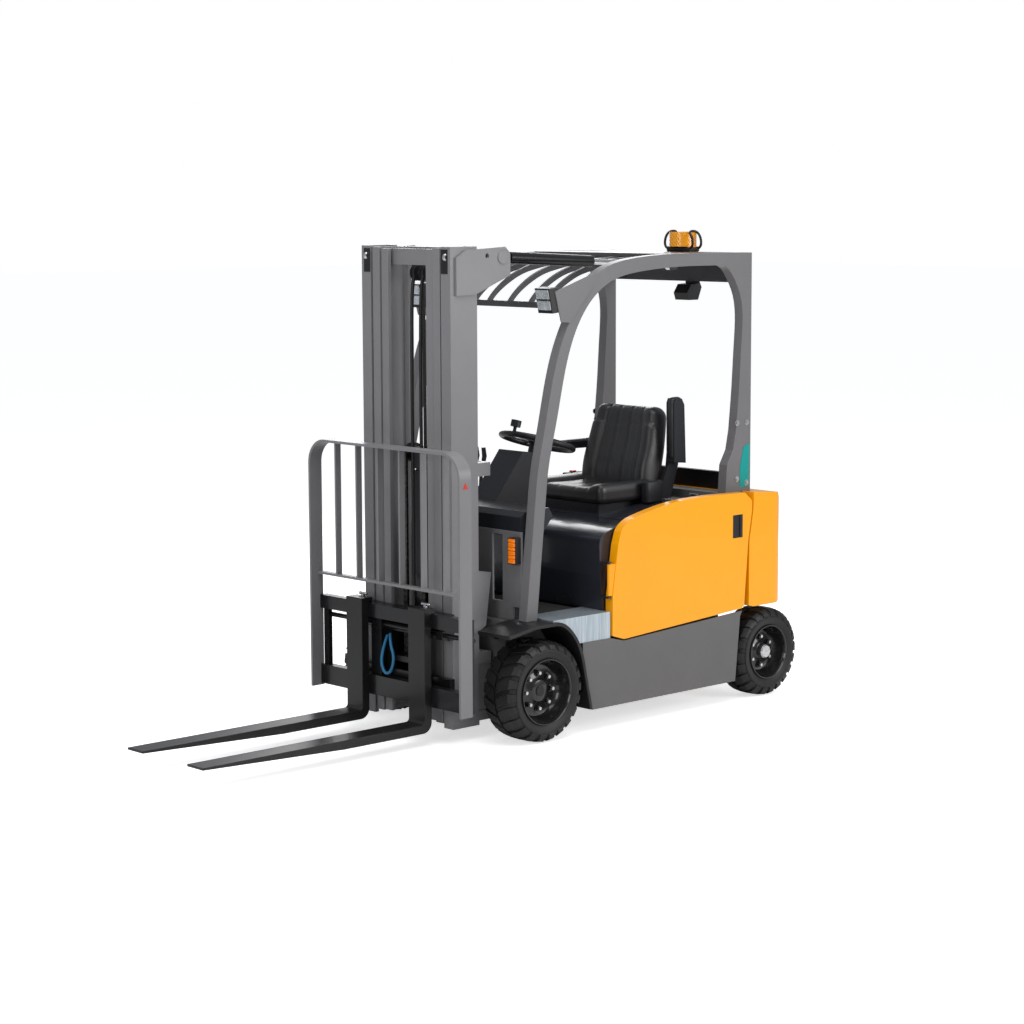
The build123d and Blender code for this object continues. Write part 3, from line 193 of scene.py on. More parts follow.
road_dust, given, made = effect_group(
    "road_dust",
    [("Top of the dust", "NodeSocketFloat", 0.5), ("Amount", "NodeSocketFloat", 0.4)],
    [("Dust", "NodeSocketFloat")])
place = road_dust.nodes.new("ShaderNodeTexCoord")
parts = road_dust.nodes.new("ShaderNodeSeparateXYZ")
faces = road_dust.nodes.new("ShaderNodeNewGeometry")
facing = road_dust.nodes.new("ShaderNodeSeparateXYZ")
height = set_inputs(road_dust.nodes.new("ShaderNodeMapRange"), {"From Min": 0.0, "To Min": 1.0, "To Max": 0.0})
upward = set_inputs(road_dust.nodes.new("ShaderNodeMapRange"), {"From Min": 0.5, "From Max": 1.0, "To Max": 0.35})
patches = set_inputs(road_dust.nodes.new("ShaderNodeTexNoise"), {"Scale": 14.0, "Detail": 6.0, "Roughness": 0.65})
clump = set_inputs(road_dust.nodes.new("ShaderNodeMapRange"), {"From Min": 0.35, "From Max": 0.75})
low_or_up = road_dust.nodes.new("ShaderNodeMath")
low_or_up.operation = "MAXIMUM"
broken = road_dust.nodes.new("ShaderNodeMath")
broken.operation = "MULTIPLY"
scaled = road_dust.nodes.new("ShaderNodeMath")
scaled.operation = "MULTIPLY"
road_dust.links.new(place.outputs["Object"], parts.inputs[0])
road_dust.links.new(place.outputs["Object"], patches.inputs["Vector"])
road_dust.links.new(parts.outputs["Z"], height.inputs["Value"])
road_dust.links.new(given.outputs["Top of the dust"], height.inputs["From Max"])
road_dust.links.new(faces.outputs["Normal"], facing.inputs[0])
road_dust.links.new(facing.outputs["Z"], upward.inputs["Value"])
road_dust.links.new(height.outputs["Result"], low_or_up.inputs[0])
road_dust.links.new(upward.outputs["Result"], low_or_up.inputs[1])
road_dust.links.new(patches.outputs["Fac"], clump.inputs["Value"])
road_dust.links.new(low_or_up.outputs[0], broken.inputs[0])
road_dust.links.new(clump.outputs["Result"], broken.inputs[1])
road_dust.links.new(broken.outputs[0], scaled.inputs[0])
road_dust.links.new(given.outputs["Amount"], scaled.inputs[1])
road_dust.links.new(scaled.outputs[0], made.inputs["Dust"])


def mix_colour(tree, first, second, share, kind="MIX"):
    mix = tree.nodes.new("ShaderNodeMix")
    mix.data_type, mix.blend_type = "RGBA", kind
    for socket, value in ((mix.inputs[6], first), (mix.inputs[7], second), (mix.inputs[0], share)):
        if isinstance(value, bpy.types.NodeSocket):
            tree.links.new(value, socket)
        else:
            socket.default_value = value
    return mix.outputs[2]


def spread(tree, value, low, high, from_low=0.0, from_high=1.0):
    ramp = set_inputs(tree.nodes.new("ShaderNodeMapRange"),
                      {"From Min": from_low, "From Max": from_high, "To Min": low, "To Max": high})
    tree.links.new(value, ramp.inputs["Value"])
    return ramp.outputs["Result"]


def painted_steel(name, colour, shade, dullness, dust_top, dust_amount, clear=0.0, peel=0.08):
    material, tree, out = new_material(name)
    skin = place_group(tree, orange_peel, {"Ripple height": peel})
    dust = place_group(tree, road_dust, {"Top of the dust": dust_top, "Amount": dust_amount})
    coat = mix_colour(tree, colour, shade, spread(tree, skin.outputs["Cloud"], 0.0, 1.0, 0.35, 0.7))
    dirty = mix_colour(tree, coat, (0.25, 0.22, 0.18, 1), dust.outputs["Dust"])
    paint = set_inputs(tree.nodes.new("ShaderNodeBsdfPrincipled"),
                       {"Coat Weight": clear, "Coat Roughness": 0.08, "Specular IOR Level": 0.3})
    tree.links.new(dirty, paint.inputs["Base Color"])
    tree.links.new(spread(tree, skin.outputs["Cloud"], dullness - 0.04, dullness + 0.06), paint.inputs["Roughness"])
    tree.links.new(skin.outputs["Normal"], paint.inputs["Normal"])
    tree.links.new(paint.outputs[0], out.inputs["Surface"])
    return material


def coat_nodes(material, *nodes):
    for name in nodes:
        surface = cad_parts[name].data
        surface.materials.clear()
        surface.materials.append(material)


chassis_grey = painted_steel("chassis_grey", (0.125, 0.122, 0.122, 1), (0.112, 0.110, 0.110, 1), 0.36, 0.30,
                             0.12)
coat_nodes(chassis_grey, "frame")
battery_case = painted_steel("battery_case", (0.03, 0.03, 0.034, 1), (0.024, 0.024, 0.027, 1), 0.5, 0.3, 0.06)
coat_nodes(battery_case, "battery")


# Mast and guard: rolled channels and pressed profiles in mid grey coats, satin and nearly clean. The load
# backrest has the mast's coat, the cowl and lamp brackets have the guard's, and the roof's is darker.
mast_grey = painted_steel("mast_grey", (0.205, 0.200, 0.208, 1), (0.185, 0.181, 0.188, 1), 0.32, 0.2, 0.05)
coat_nodes(mast_grey, "mast_outer_rails", "mast_middle_rails", "mast_inner_rails", "load_backrest")
guard_grey = painted_steel("guard_grey", (0.165, 0.160, 0.164, 1), (0.150, 0.146, 0.150, 1), 0.32, 0.2, 0.05)
coat_nodes(guard_grey, "guard_side_left", "guard_side_right", "headlamp_brackets", "cowl")
roof_grey = painted_steel("roof_grey", (0.070, 0.068, 0.072, 1), (0.058, 0.056, 0.060, 1), 0.34, 0.2, 0.05)
coat_nodes(roof_grey, "guard_roof_bars", "guard_roof_sheet")


# Yellow bodywork: the two side doors and the cast tail, in one deep colour with a thin clear coat over it.
# Hardly any dust stays on it.
signal_yellow = painted_steel("signal_yellow", (0.94, 0.375, 0.0, 1), (0.90, 0.355, 0.0, 1), 0.30, 0.3, 0.02,
                              0.25, 0.04)
coat_nodes(signal_yellow, "side_door_left", "side_door_right", "counterweight")


# Black enamel: axles, knuckles, forks, carriage and cylinder barrels, sprayed thick and fairly glossy. The rear
# tray, pedals and horn have it too.
black_enamel = painted_steel("black_enamel", (0.005, 0.005, 0.006, 1), (0.008, 0.008, 0.009, 1), 0.28, 0.3, 0.03,
                             0.15)
coat_nodes(black_enamel, "drive_axle", "steer_axle", "rear_knuckle_left", "rear_knuckle_right", "carriage",
           "fork_carriage", "lift_barrels", "free_lift_barrel", "free_lift_head", "tilt_barrel_left",
           "tilt_barrel_right", "rear_tray", "pedals", "horn")
fork_black = painted_steel("fork_black", (0.007, 0.007, 0.008, 1), (0.012, 0.011, 0.011, 1), 0.34, 0.2, 0.03, 0.1)
coat_nodes(fork_black, "forks")


# Moulded plastic: fenders, dashboard, hood and lamp shells in black polypropylene with a fine leather grain.
moulded_grain, given, made = effect_group(
    "moulded_grain",
    [("Grains per metre", "NodeSocketFloat", 900.0), ("Grain height", "NodeSocketFloat", 0.12)],
    [("Patch", "NodeSocketFloat"), ("Normal", "NodeSocketVector")])
place = moulded_grain.nodes.new("ShaderNodeTexCoord")
cells = moulded_grain.nodes.new("ShaderNodeTexVoronoi")
patch = set_inputs(moulded_grain.nodes.new("ShaderNodeTexNoise"), {"Scale": 3.0, "Detail": 4.0})
dimple = set_inputs(moulded_grain.nodes.new("ShaderNodeBump"), {"Distance": 0.0006})
moulded_grain.links.new(place.outputs["Object"], cells.inputs["Vector"])
moulded_grain.links.new(place.outputs["Object"], patch.inputs["Vector"])
moulded_grain.links.new(given.outputs["Grains per metre"], cells.inputs["Scale"])
moulded_grain.links.new(given.outputs["Grain height"], dimple.inputs["Strength"])
moulded_grain.links.new(cells.outputs["Distance"], dimple.inputs["Height"])
moulded_grain.links.new(patch.outputs["Fac"], made.inputs["Patch"])
moulded_grain.links.new(dimple.outputs["Normal"], made.inputs["Normal"])


def moulded(name, colour, shade, dull, grains=900.0, grain_height=0.12, clear=0.0):
    material, tree, out = new_material(name)
    grain = place_group(tree, moulded_grain, {"Grains per metre": grains, "Grain height": grain_height})
    plastic = set_inputs(tree.nodes.new("ShaderNodeBsdfPrincipled"),
                         {"Coat Weight": clear, "Coat Roughness": 0.1, "Specular IOR Level": 0.32})
    tint = mix_colour(tree, colour, shade, spread(tree, grain.outputs["Patch"], 0.0, 1.0, 0.35, 0.65))
    tree.links.new(tint, plastic.inputs["Base Color"])
    tree.links.new(spread(tree, grain.outputs["Patch"], dull - 0.05, dull + 0.05), plastic.inputs["Roughness"])
    tree.links.new(grain.outputs["Normal"], plastic.inputs["Normal"])
    tree.links.new(plastic.outputs[0], out.inputs["Surface"])
    return material


fender_black = moulded("fender_black", (0.010, 0.010, 0.011, 1), (0.015, 0.015, 0.016, 1), 0.36)
coat_nodes(fender_black, "front_fenders", "roof_lamp", "headlamps")
console_black = moulded("console_black", (0.012, 0.013, 0.016, 1), (0.016, 0.017, 0.021, 1), 0.34)
coat_nodes(console_black, "dash", "control_levers", "steering_wheel", "seat_frame")
hood_black = moulded("hood_black", (0.018, 0.020, 0.027, 1), (0.022, 0.024, 0.031, 1), 0.26, 900.0, 0.05, 0.35)
coat_nodes(hood_black, "deck_front", "seat_deck")
floor_mat = moulded("floor_mat", (0.022, 0.022, 0.022, 1), (0.030, 0.030, 0.030, 1), 0.7, 260.0, 0.5)
coat_nodes(floor_mat, "floor_plate")


# Bare metals: hard chrome on the rods, galvanised plate on the steps with its upright brush streaks, and
# oiled steel on the lift chains.
brush_streaks, given, made = effect_group(
    "brush_streaks",
    [("Across", "NodeSocketFloat", 160.0), ("Along", "NodeSocketFloat", 5.0), ("Depth", "NodeSocketFloat", 0.1)],
    [("Streak", "NodeSocketFloat"), ("Normal", "NodeSocketVector")])
place = brush_streaks.nodes.new("ShaderNodeTexCoord")
stretch = brush_streaks.nodes.new("ShaderNodeMapping")
combine = brush_streaks.nodes.new("ShaderNodeCombineXYZ")
streak = set_inputs(brush_streaks.nodes.new("ShaderNodeTexNoise"), {"Scale": 1.0, "Detail": 5.0, "Roughness": 0.6})
scratch = set_inputs(brush_streaks.nodes.new("ShaderNodeBump"), {"Distance": 0.0005})
brush_streaks.links.new(given.outputs["Across"], combine.inputs["X"])
brush_streaks.links.new(given.outputs["Across"], combine.inputs["Y"])
brush_streaks.links.new(given.outputs["Along"], combine.inputs["Z"])
brush_streaks.links.new(combine.outputs[0], stretch.inputs["Scale"])
brush_streaks.links.new(place.outputs["Object"], stretch.inputs["Vector"])
brush_streaks.links.new(stretch.outputs[0], streak.inputs["Vector"])
brush_streaks.links.new(given.outputs["Depth"], scratch.inputs["Strength"])
brush_streaks.links.new(streak.outputs["Fac"], scratch.inputs["Height"])
brush_streaks.links.new(streak.outputs["Fac"], made.inputs["Streak"])
brush_streaks.links.new(scratch.outputs["Normal"], made.inputs["Normal"])


def bare_metal(name, colour, shade, dull, across=160.0, along=5.0, depth=0.1, metal=1.0):
    material, tree, out = new_material(name)
    brushed = place_group(tree, brush_streaks, {"Across": across, "Along": along, "Depth": depth})
    steel = set_inputs(tree.nodes.new("ShaderNodeBsdfPrincipled"), {"Metallic": metal})
    tint = mix_colour(tree, colour, shade, spread(tree, brushed.outputs["Streak"], 0.0, 1.0, 0.35, 0.65))
    tree.links.new(tint, steel.inputs["Base Color"])
    tree.links.new(spread(tree, brushed.outputs["Streak"], dull - 0.06, dull + 0.08), steel.inputs["Roughness"])
    tree.links.new(brushed.outputs["Normal"], steel.inputs["Normal"])
    tree.links.new(steel.outputs[0], out.inputs["Surface"])
    return material


hard_chrome = bare_metal("hard_chrome", (0.72, 0.73, 0.75, 1), (0.66, 0.67, 0.69, 1), 0.14, 40.0, 40.0, 0.02)
coat_nodes(hard_chrome, "lift_rods", "tilt_rod_left", "tilt_rod_right")
zinc_plate = bare_metal("zinc_plate", (0.52, 0.58, 0.62, 1), (0.34, 0.40, 0.44, 1), 0.42, 130.0, 5.0, 0.2, 0.75)
coat_nodes(zinc_plate, "step_plates")
chain_steel = bare_metal("chain_steel", (0.13, 0.12, 0.11, 1), (0.06, 0.055, 0.05, 1), 0.38, 60.0, 60.0, 0.3)
coat_nodes(chain_steel, "carriage_chains")
bright_steel = bare_metal("bright_steel", (0.66, 0.66, 0.66, 1), (0.50, 0.50, 0.51, 1), 0.26, 80.0, 80.0, 0.1)


# Front and rear tyres: solid black rubber on a plain carcass, with two rows of slanted lugs that turn down
# over the shoulders. The lugs are moulded with the carcass, one after another round the wheel.
tyre_rubber = moulded("tyre_rubber", (0.007, 0.007, 0.008, 1), (0.012, 0.012, 0.012, 1), 0.44, 500.0, 0.15)


def fitted(name, shape, material, body):
    bmesh.ops.remove_doubles(shape, verts=shape.verts, dist=0.00001)
    bmesh.ops.recalc_face_normals(shape, faces=shape.faces)
    mesh = bpy.data.meshes.new(name)
    shape.to_mesh(mesh)
    shape.free()
    mesh.materials.append(material)
    piece = bpy.data.objects.new(name, mesh)
    scene.collection.objects.link(piece)
    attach(piece, body)
    return piece


def rounded_shade(piece, degrees=35):
    for face in piece.data.polygons:
        face.use_smooth = True
    piece.data.set_sharp_from_angle(angle=math.radians(degrees))
    return piece


axis_gap = 0.0006


def turned(shape, profile, centre, side=1, steps=64):
    """Turns (along, radius) points about an axis along X. A profile stops axis_gap short of that axis."""
    rings = []
    for step in range(steps):
        angle = 2 * math.pi * step / steps
        rings.append([shape.verts.new((centre[0] + side * along, centre[1] + radius * math.sin(angle),
                                       centre[2] + radius * math.cos(angle))) for along, radius in profile])
    for step in range(steps):
        near, far = rings[step], rings[(step + 1) % steps]
        for here in range(len(profile)):
            there = (here + 1) % len(profile)
            shape.faces.new((near[here], near[there], far[there], far[here]))


copies_round = bpy.data.node_groups.new("copies_round", "GeometryNodeTree")
for label, way, kind in (("Geometry", "INPUT", "NodeSocketGeometry"), ("Count", "INPUT", "NodeSocketInt"),
                         ("Centre", "INPUT", "NodeSocketVector"), ("Material", "INPUT", "NodeSocketMaterial"),
                         ("Geometry", "OUTPUT", "NodeSocketGeometry")):
    copies_round.interface.new_socket(label, in_out=way, socket_type=kind)
given = copies_round.nodes.new("NodeGroupInput")
made = copies_round.nodes.new("NodeGroupOutput")
places = copies_round.nodes.new("GeometryNodeMeshLine")
number = copies_round.nodes.new("GeometryNodeInputIndex")
part_turn = copies_round.nodes.new("ShaderNodeMath")
part_turn.operation = "DIVIDE"
full_turn = copies_round.nodes.new("ShaderNodeMath")
full_turn.operation = "MULTIPLY"
full_turn.inputs[1].default_value = 2 * math.pi
about_axis = copies_round.nodes.new("ShaderNodeCombineXYZ")
copy_here = copies_round.nodes.new("GeometryNodeInstanceOnPoints")
realize = copies_round.nodes.new("GeometryNodeRealizeInstances")
finish = copies_round.nodes.new("GeometryNodeSetMaterial")
places.inputs["Offset"].default_value = (0, 0, 0)
copies_round.links.new(given.outputs["Count"], places.inputs["Count"])
copies_round.links.new(given.outputs["Centre"], places.inputs["Start Location"])
copies_round.links.new(number.outputs[0], part_turn.inputs[0])
copies_round.links.new(given.outputs["Count"], part_turn.inputs[1])
copies_round.links.new(part_turn.outputs[0], full_turn.inputs[0])
copies_round.links.new(full_turn.outputs[0], about_axis.inputs["X"])
copies_round.links.new(places.outputs["Mesh"], copy_here.inputs["Points"])
copies_round.links.new(given.outputs["Geometry"], copy_here.inputs["Instance"])
copies_round.links.new(about_axis.outputs[0], copy_here.inputs["Rotation"])
copies_round.links.new(copy_here.outputs[0], realize.inputs[0])
copies_round.links.new(realize.outputs[0], finish.inputs["Geometry"])
copies_round.links.new(given.outputs["Material"], finish.inputs["Material"])
copies_round.links.new(finish.outputs[0], made.inputs[0])


def repeated(group, shape, values, name):
    """Runs a geometry group on one small shape and gives back the plain mesh of all its copies."""
    bmesh.ops.recalc_face_normals(shape, faces=shape.faces)
    mesh = bpy.data.meshes.new(name)
    shape.to_mesh(mesh)
    shape.free()
    holder = bpy.data.objects.new(name, mesh)
    scene.collection.objects.link(holder)
    maker = holder.modifiers.new("copies", "NODES")
    maker.node_group = group
    for item in group.interface.items_tree:
        if item.name in values and item.in_out == "INPUT":
            maker[item.identifier] = values[item.name]
    copies = bpy.data.meshes.new_from_object(holder.evaluated_get(bpy.context.evaluated_depsgraph_get()))
    holder.modifiers.remove(maker)
    bpy.data.objects.remove(holder)
    return copies


def lug(shape, side, half_width, radius, pitch, shift):
    slant = [(0.006, 0.0, 0.0), (0.45 * half_width, 0.001, 0.30), (0.78 * half_width, 0.005, 0.46),
             (half_width - 0.005, 0.018, 0.52), (half_width + 0.0008, 0.036, 0.52)]
    rows = []
    for along, drop, slip in slant:
        angle = pitch * (slip + shift)
        thick = 0.40 * pitch if along < half_width - 0.01 else 0.33 * pitch
        inward = 0.006 if along > half_width - 0.01 else 0.0
        for edge in (-1, 1):
            for depth in (0.0, 0.012):
                at = angle + edge * thick * (1.0 if depth else 0.86)
                reach = radius - drop - depth
                across = side * (along - (inward if depth else 0.0))
                rows.append(shape.verts.new((across, reach * math.sin(at), reach * math.cos(at))))
    for start in range(0, len(rows) - 4, 4):
        one, two = rows[start:start + 4], rows[start + 4:start + 8]
        for a, b in ((0, 1), (1, 3), (3, 2), (2, 0)):
            shape.faces.new((one[a], one[b], two[b], two[a]))
    shape.faces.new((rows[0], rows[1], rows[3], rows[2]))
    shape.faces.new((rows[-4], rows[-3], rows[-1], rows[-2]))


def wheel_facts(node):
    low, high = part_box(node)
    centre = [(low[axis] + high[axis]) / 2 for axis in range(3)]
    return centre, (high[2] - low[2]) / 2, (high[0] - low[0]) / 2


def tyre(node, body, bead, lugs):
    centre, radius, half_width = wheel_facts(node)
    shape = bmesh.new()
    wall = [(0.0, radius - 0.009), (0.5 * half_width, radius - 0.009), (half_width - 0.020, radius - 0.015),
            (half_width - 0.007, radius - 0.028), (half_width - 0.002, radius - 0.044),
            (half_width, bead + 0.040), (half_width + 0.0012, bead + 0.036), (half_width + 0.0012, bead + 0.030),
            (half_width, bead + 0.026), (half_width - 0.002, bead + 0.012), (half_width - 0.008, bead)]
    turned(shape, wall + [(-along, reach) for along, reach in reversed(wall[1:])], centre)
    for hand in (-1, 1):
        one = bmesh.new()
        lug(one, hand, half_width, radius, 2 * math.pi / lugs, 0.0 if hand > 0 else 0.5)
        shape.from_mesh(repeated(copies_round, one, {"Count": lugs, "Centre": centre, "Material": tyre_rubber},
                                 "lugs"))
    piece = rounded_shade(fitted(body + "_tread", shape, tyre_rubber, body), 30)
    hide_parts(node)


for hand in ("left", "right"):
    tyre("front_tyre_" + hand, "front_wheel_" + hand, 0.150, 22)
    tyre("rear_tyre_" + hand, "rear_wheel_" + hand, 0.132, 22)


# Rims: a pressed steel dish in gloss black with a rolled lip and a flat centre, held by a ring of black wheel
# nuts on bright studs. The rear ones are smaller and carry a bright hub cap.
rim_black = painted_steel("rim_black", (0.007, 0.007, 0.008, 1), (0.010, 0.010, 0.011, 1), 0.22, 0.2, 0.05,
                          0.6, 0.03)


def prism(shape, start, end, radius, sides, centre=(0, 0, 0), reach=0.0, side=1):
    """A short bar along X from start to end, standing reach above the centre."""
    ends = []
    for along in (start, end):
        ends.append([shape.verts.new((centre[0] + side * along,
                                      centre[1] + radius * math.sin(2 * math.pi * corner / sides),
                                      centre[2] + reach + radius * math.cos(2 * math.pi * corner / sides)))
                     for corner in range(sides)])
    for corner in range(sides):
        beside = (corner + 1) % sides
        shape.faces.new((ends[0][corner], ends[0][beside], ends[1][beside], ends[1][corner]))
    shape.faces.new(ends[0])
    shape.faces.new(ends[1])


def rim(node, tyre_node, body, nuts, nut_reach, flat):
    centre, radius, half_width = wheel_facts(tyre_node)
    edge = wheel_facts(node)[1]
    side = 1 if centre[0] > 0 else -1
    outer = half_width
    back = -half_width + 0.009
    dish = [(outer - 0.006, edge), (outer - 0.001, edge - 0.002), (outer - 0.001, edge - 0.006),
            (outer - 0.006, edge - 0.009), (outer - 0.024, edge - 0.013), (outer - 0.058, edge - 0.022),
            (outer - 0.072, edge - 0.034), (outer - 0.074, nut_reach + 0.016), (outer - 0.064, nut_reach - 0.012),
            (outer - 0.058, flat + 0.004), (outer - 0.052, flat), (outer - 0.050, flat - 0.004),
            (outer - 0.050, axis_gap), (outer - 0.086, axis_gap), (outer - 0.090, edge - 0.03),
            (back, edge - 0.009), (back, edge)]
    shape = bmesh.new()
    turned(shape, dish, centre, side, 72)
    nut = bmesh.new()
    prism(nut, outer - 0.072, outer - 0.055, 0.0125, 6, reach=nut_reach, side=side)
    prism(nut, outer - 0.074, outer - 0.066, 0.017, 16, reach=nut_reach, side=side)
    shape.from_mesh(repeated(copies_round, nut, {"Count": nuts, "Centre": centre, "Material": rim_black}, "nuts"))
    piece = rounded_shade(fitted(body + "_rim", shape, rim_black, body))
    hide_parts(node)
    stud = bmesh.new()
    prism(stud, outer - 0.056, outer - 0.047, 0.0075, 12, reach=nut_reach, side=side)
    studs = bmesh.new()
    studs.from_mesh(repeated(copies_round, stud, {"Count": nuts, "Centre": centre, "Material": bright_steel},
                             "studs"))
    if nuts < 8:
        cap = [(outer - 0.051, 0.036), (outer - 0.024, 0.034), (outer - 0.018, 0.028), (outer - 0.016, axis_gap),
               (outer - 0.051, axis_gap)]
        turned(studs, cap, centre, side, 32)
    rounded_shade(fitted(body + "_studs", studs, bright_steel, body))


for hand in ("left", "right"):
    rim("front_rim_" + hand, "front_tyre_" + hand, "front_wheel_" + hand, 8, 0.080, 0.050)
    rim("rear_rim_" + hand, "rear_tyre_" + hand, "rear_wheel_" + hand, 6, 0.070, 0.040)


# Seat: a low cushion and a back in black vinyl over foam, with raised side bolsters and stitched seams
# between the panels. The moulded shell under them is the seat frame.
vinyl, tree, out = new_material("seat_vinyl")
hide = place_group(tree, moulded_grain, {"Grains per metre": 420.0, "Grain height": 0.22})
skin = set_inputs(tree.nodes.new("ShaderNodeBsdfPrincipled"), {"Coat Weight": 0.15, "Coat Roughness": 0.3})
worn = mix_colour(tree, (0.010, 0.010, 0.011, 1), (0.018, 0.018, 0.019, 1),
                  spread(tree, hide.outputs["Patch"], 0.0, 1.0, 0.35, 0.65))
tree.links.new(worn, skin.inputs["Base Color"])
tree.links.new(spread(tree, hide.outputs["Patch"], 0.32, 0.42), skin.inputs["Roughness"])
tree.links.new(hide.outputs["Normal"], skin.inputs["Normal"])
tree.links.new(skin.outputs[0], out.inputs["Surface"])


def padded_block(shape, size, corner, face_height):
    """A rounded block round the origin, its top face raised or sunk by face_height(across, along)."""
    cells = 44
    bmesh.ops.create_cube(shape, size=2.0)
    bmesh.ops.subdivide_edges(shape, edges=shape.edges[:], cuts=cells, use_grid_fill=True)
    for point in shape.verts:
        place = Vector((point.co.x * size[0] / 2, point.co.y * size[1] / 2, point.co.z * size[2] / 2))
        core = Vector(max(-size[axis] / 2 + corner, min(size[axis] / 2 - corner, place[axis])) for axis in range(3))
        out_of_core = place - core
        if out_of_core.length > 0:
            place = core + out_of_core.normalized() * corner
        if place.z > 0:
            share = min(1.0, place.z / (size[2] / 2 - corner * 0.3))
            place.z += share * face_height(2 * place.x / size[0], 2 * place.y / size[1])
        point.co = place


def groove(distance, width=0.03, depth=0.006):
    return -depth * math.exp(-(distance / width) ** 2)


def cushion_face(across, along):
    bolster = 0.020 / (1 + math.exp(-(abs(across) - 0.66) / 0.05))
    hollow = -0.012 * (1 - across ** 2) * (1 - along ** 2)
    seams = groove(abs(across) - 0.60) + groove(abs(across) - 0.24, 0.02, 0.004) + groove(along - 0.45, 0.02, 0.004)
    nose = -0.02 * max(0.0, -along - 0.5) ** 2
    return bolster + hollow + seams + nose


def back_face(across, along):
    bolster = 0.024 / (1 + math.exp(-(abs(across) - 0.62) / 0.05)) * (1.0 if along < 0.6 else 0.5)
    seams = groove(abs(across) - 0.56) + groove(abs(across) - 0.20, 0.02, 0.005) + groove(along - 0.55, 0.02, 0.005)
    lumbar = 0.012 * math.exp(-((along + 0.4) / 0.4) ** 2)
    return bolster + seams + lumbar


low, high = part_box("seat_cushion")
shape = bmesh.new()
padded_block(shape, (high[0] - low[0] + 0.010, high[1] - low[1] + 0.004, high[2] - low[2] + 0.012), 0.030,
             cushion_face)
bmesh.ops.translate(shape, verts=shape.verts, vec=((low[0] + high[0]) / 2, (low[1] + high[1]) / 2,
                                                    (low[2] + high[2]) / 2 + 0.006))
cushion = rounded_shade(fitted("padded_cushion", shape, vinyl, "seat_deck"), 80)
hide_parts("seat_cushion")

low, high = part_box("seat_back")
back_height, back_depth, back_lean = high[2] - low[2], 0.100, math.radians(13)
shape = bmesh.new()
padded_block(shape, (high[0] - low[0], back_height + 0.01, back_depth), 0.046, back_face)
for point in shape.verts:
    rise = point.co.y / back_height + 0.5
    point.co.x *= 1.0 - 0.30 * max(0.0, rise - 0.45) ** 1.5
    point.co.z += 0.045 * max(0.0, rise - 0.75) ** 2
upright_turn = Matrix.Rotation(math.pi / 2 - back_lean, 4, "X")
bmesh.ops.transform(shape, matrix=upright_turn, verts=shape.verts)
bmesh.ops.translate(shape, verts=shape.verts, vec=(0, (low[1] + high[1]) / 2 + 0.004, (low[2] + high[2]) / 2))
backrest_pad = rounded_shade(fitted("padded_back", shape, vinyl, "seat_deck"), 80)
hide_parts("seat_back")


# Seat belt: a retractor box on each side behind the cushion.
# The right one carries a red release button.
def block(shape, low, high, round_off=0.0):
    made = bmesh.ops.create_cube(shape, size=1.0)["verts"]
    for point in made:
        for axis in range(3):
            point.co[axis] = (low[axis] + high[axis]) / 2 + point.co[axis] * (high[axis] - low[axis])
    if round_off:
        edges = list({edge for point in made for edge in point.link_edges})
        bmesh.ops.bevel(shape, geom=edges, offset=round_off, segments=3, profile=0.5, affect="EDGES")


def from_axle(x, y, z):
    return x / 1000, y / 1000 - 0.035, z / 1000


cushion_low, cushion_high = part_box("seat_cushion")
shape = bmesh.new()
for hand in (-1, 1):
    inner = hand * (cushion_high[0] + 0.012)
    block(shape, (min(inner, inner + hand * 0.045), cushion_high[1] - 0.09, cushion_low[2] - 0.01),
          (max(inner, inner + hand * 0.045), cushion_high[1] + 0.02, cushion_low[2] + 0.095), 0.010)
rounded_shade(fitted("belt_reels", shape, console_black, "seat_deck"), 60)
buckle_red = moulded("buckle_red", (0.55, 0.02, 0.015, 1), (0.48, 0.016, 0.012, 1), 0.35)
shape = bmesh.new()
block(shape, (-cushion_high[0] - 0.046, cushion_high[1] - 0.05, cushion_low[2] + 0.088),
      (-cushion_high[0] - 0.022, cushion_high[1] - 0.02, cushion_low[2] + 0.102), 0.004)
rounded_shade(fitted("buckle_button", shape, buckle_red, "seat_deck"), 60)


# Armrests: soft pads over the arms of the seat. The left one is folded up beside the back, and the right
# one lies forward.
low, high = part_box("seat_frame")
shape = bmesh.new()
block(shape, (0.262, high[1] - 0.085, 1.160), (0.306, high[1] - 0.018, 1.458), 0.018)
block(shape, (-0.306, 0.815, 1.184), (-0.262, 1.118, 1.226), 0.016)
rounded_shade(fitted("armrest_pads", shape, vinyl, "seat_deck"), 80)


# Headlamps: a black bezel on each side with two reflector cells, one above the other, behind clear lenses.
# The cells lean back with the bezel.
clear_lens, tree, out = new_material("clear_lens")
ripples = set_inputs(tree.nodes.new("ShaderNodeTexNoise"), {"Scale": 60.0})
where = tree.nodes.new("ShaderNodeTexCoord")
tree.links.new(where.outputs["Object"], ripples.inputs["Vector"])
wavy = set_inputs(tree.nodes.new("ShaderNodeBump"), {"Strength": 0.15, "Distance": 0.002})
tree.links.new(ripples.outputs["Fac"], wavy.inputs["Height"])
lens_shell = set_inputs(tree.nodes.new("ShaderNodeBsdfPrincipled"),
                        {"Transmission Weight": 0.85, "IOR": 1.3, "Base Color": (0.92, 0.95, 0.97, 1)})
tree.links.new(spread(tree, ripples.outputs["Fac"], 0.04, 0.12), lens_shell.inputs["Roughness"])
tree.links.new(wavy.outputs["Normal"], lens_shell.inputs["Normal"])
tree.links.new(lens_shell.outputs[0], out.inputs["Surface"])
reflector = bare_metal("reflector", (0.86, 0.87, 0.88, 1), (0.74, 0.76, 0.78, 1), 0.16, 90.0, 90.0, 0.2)


def lean_back(shape, low, high):
    for point in shape.verts:
        point.co.y += 0.218 * (high[2] - point.co.z)


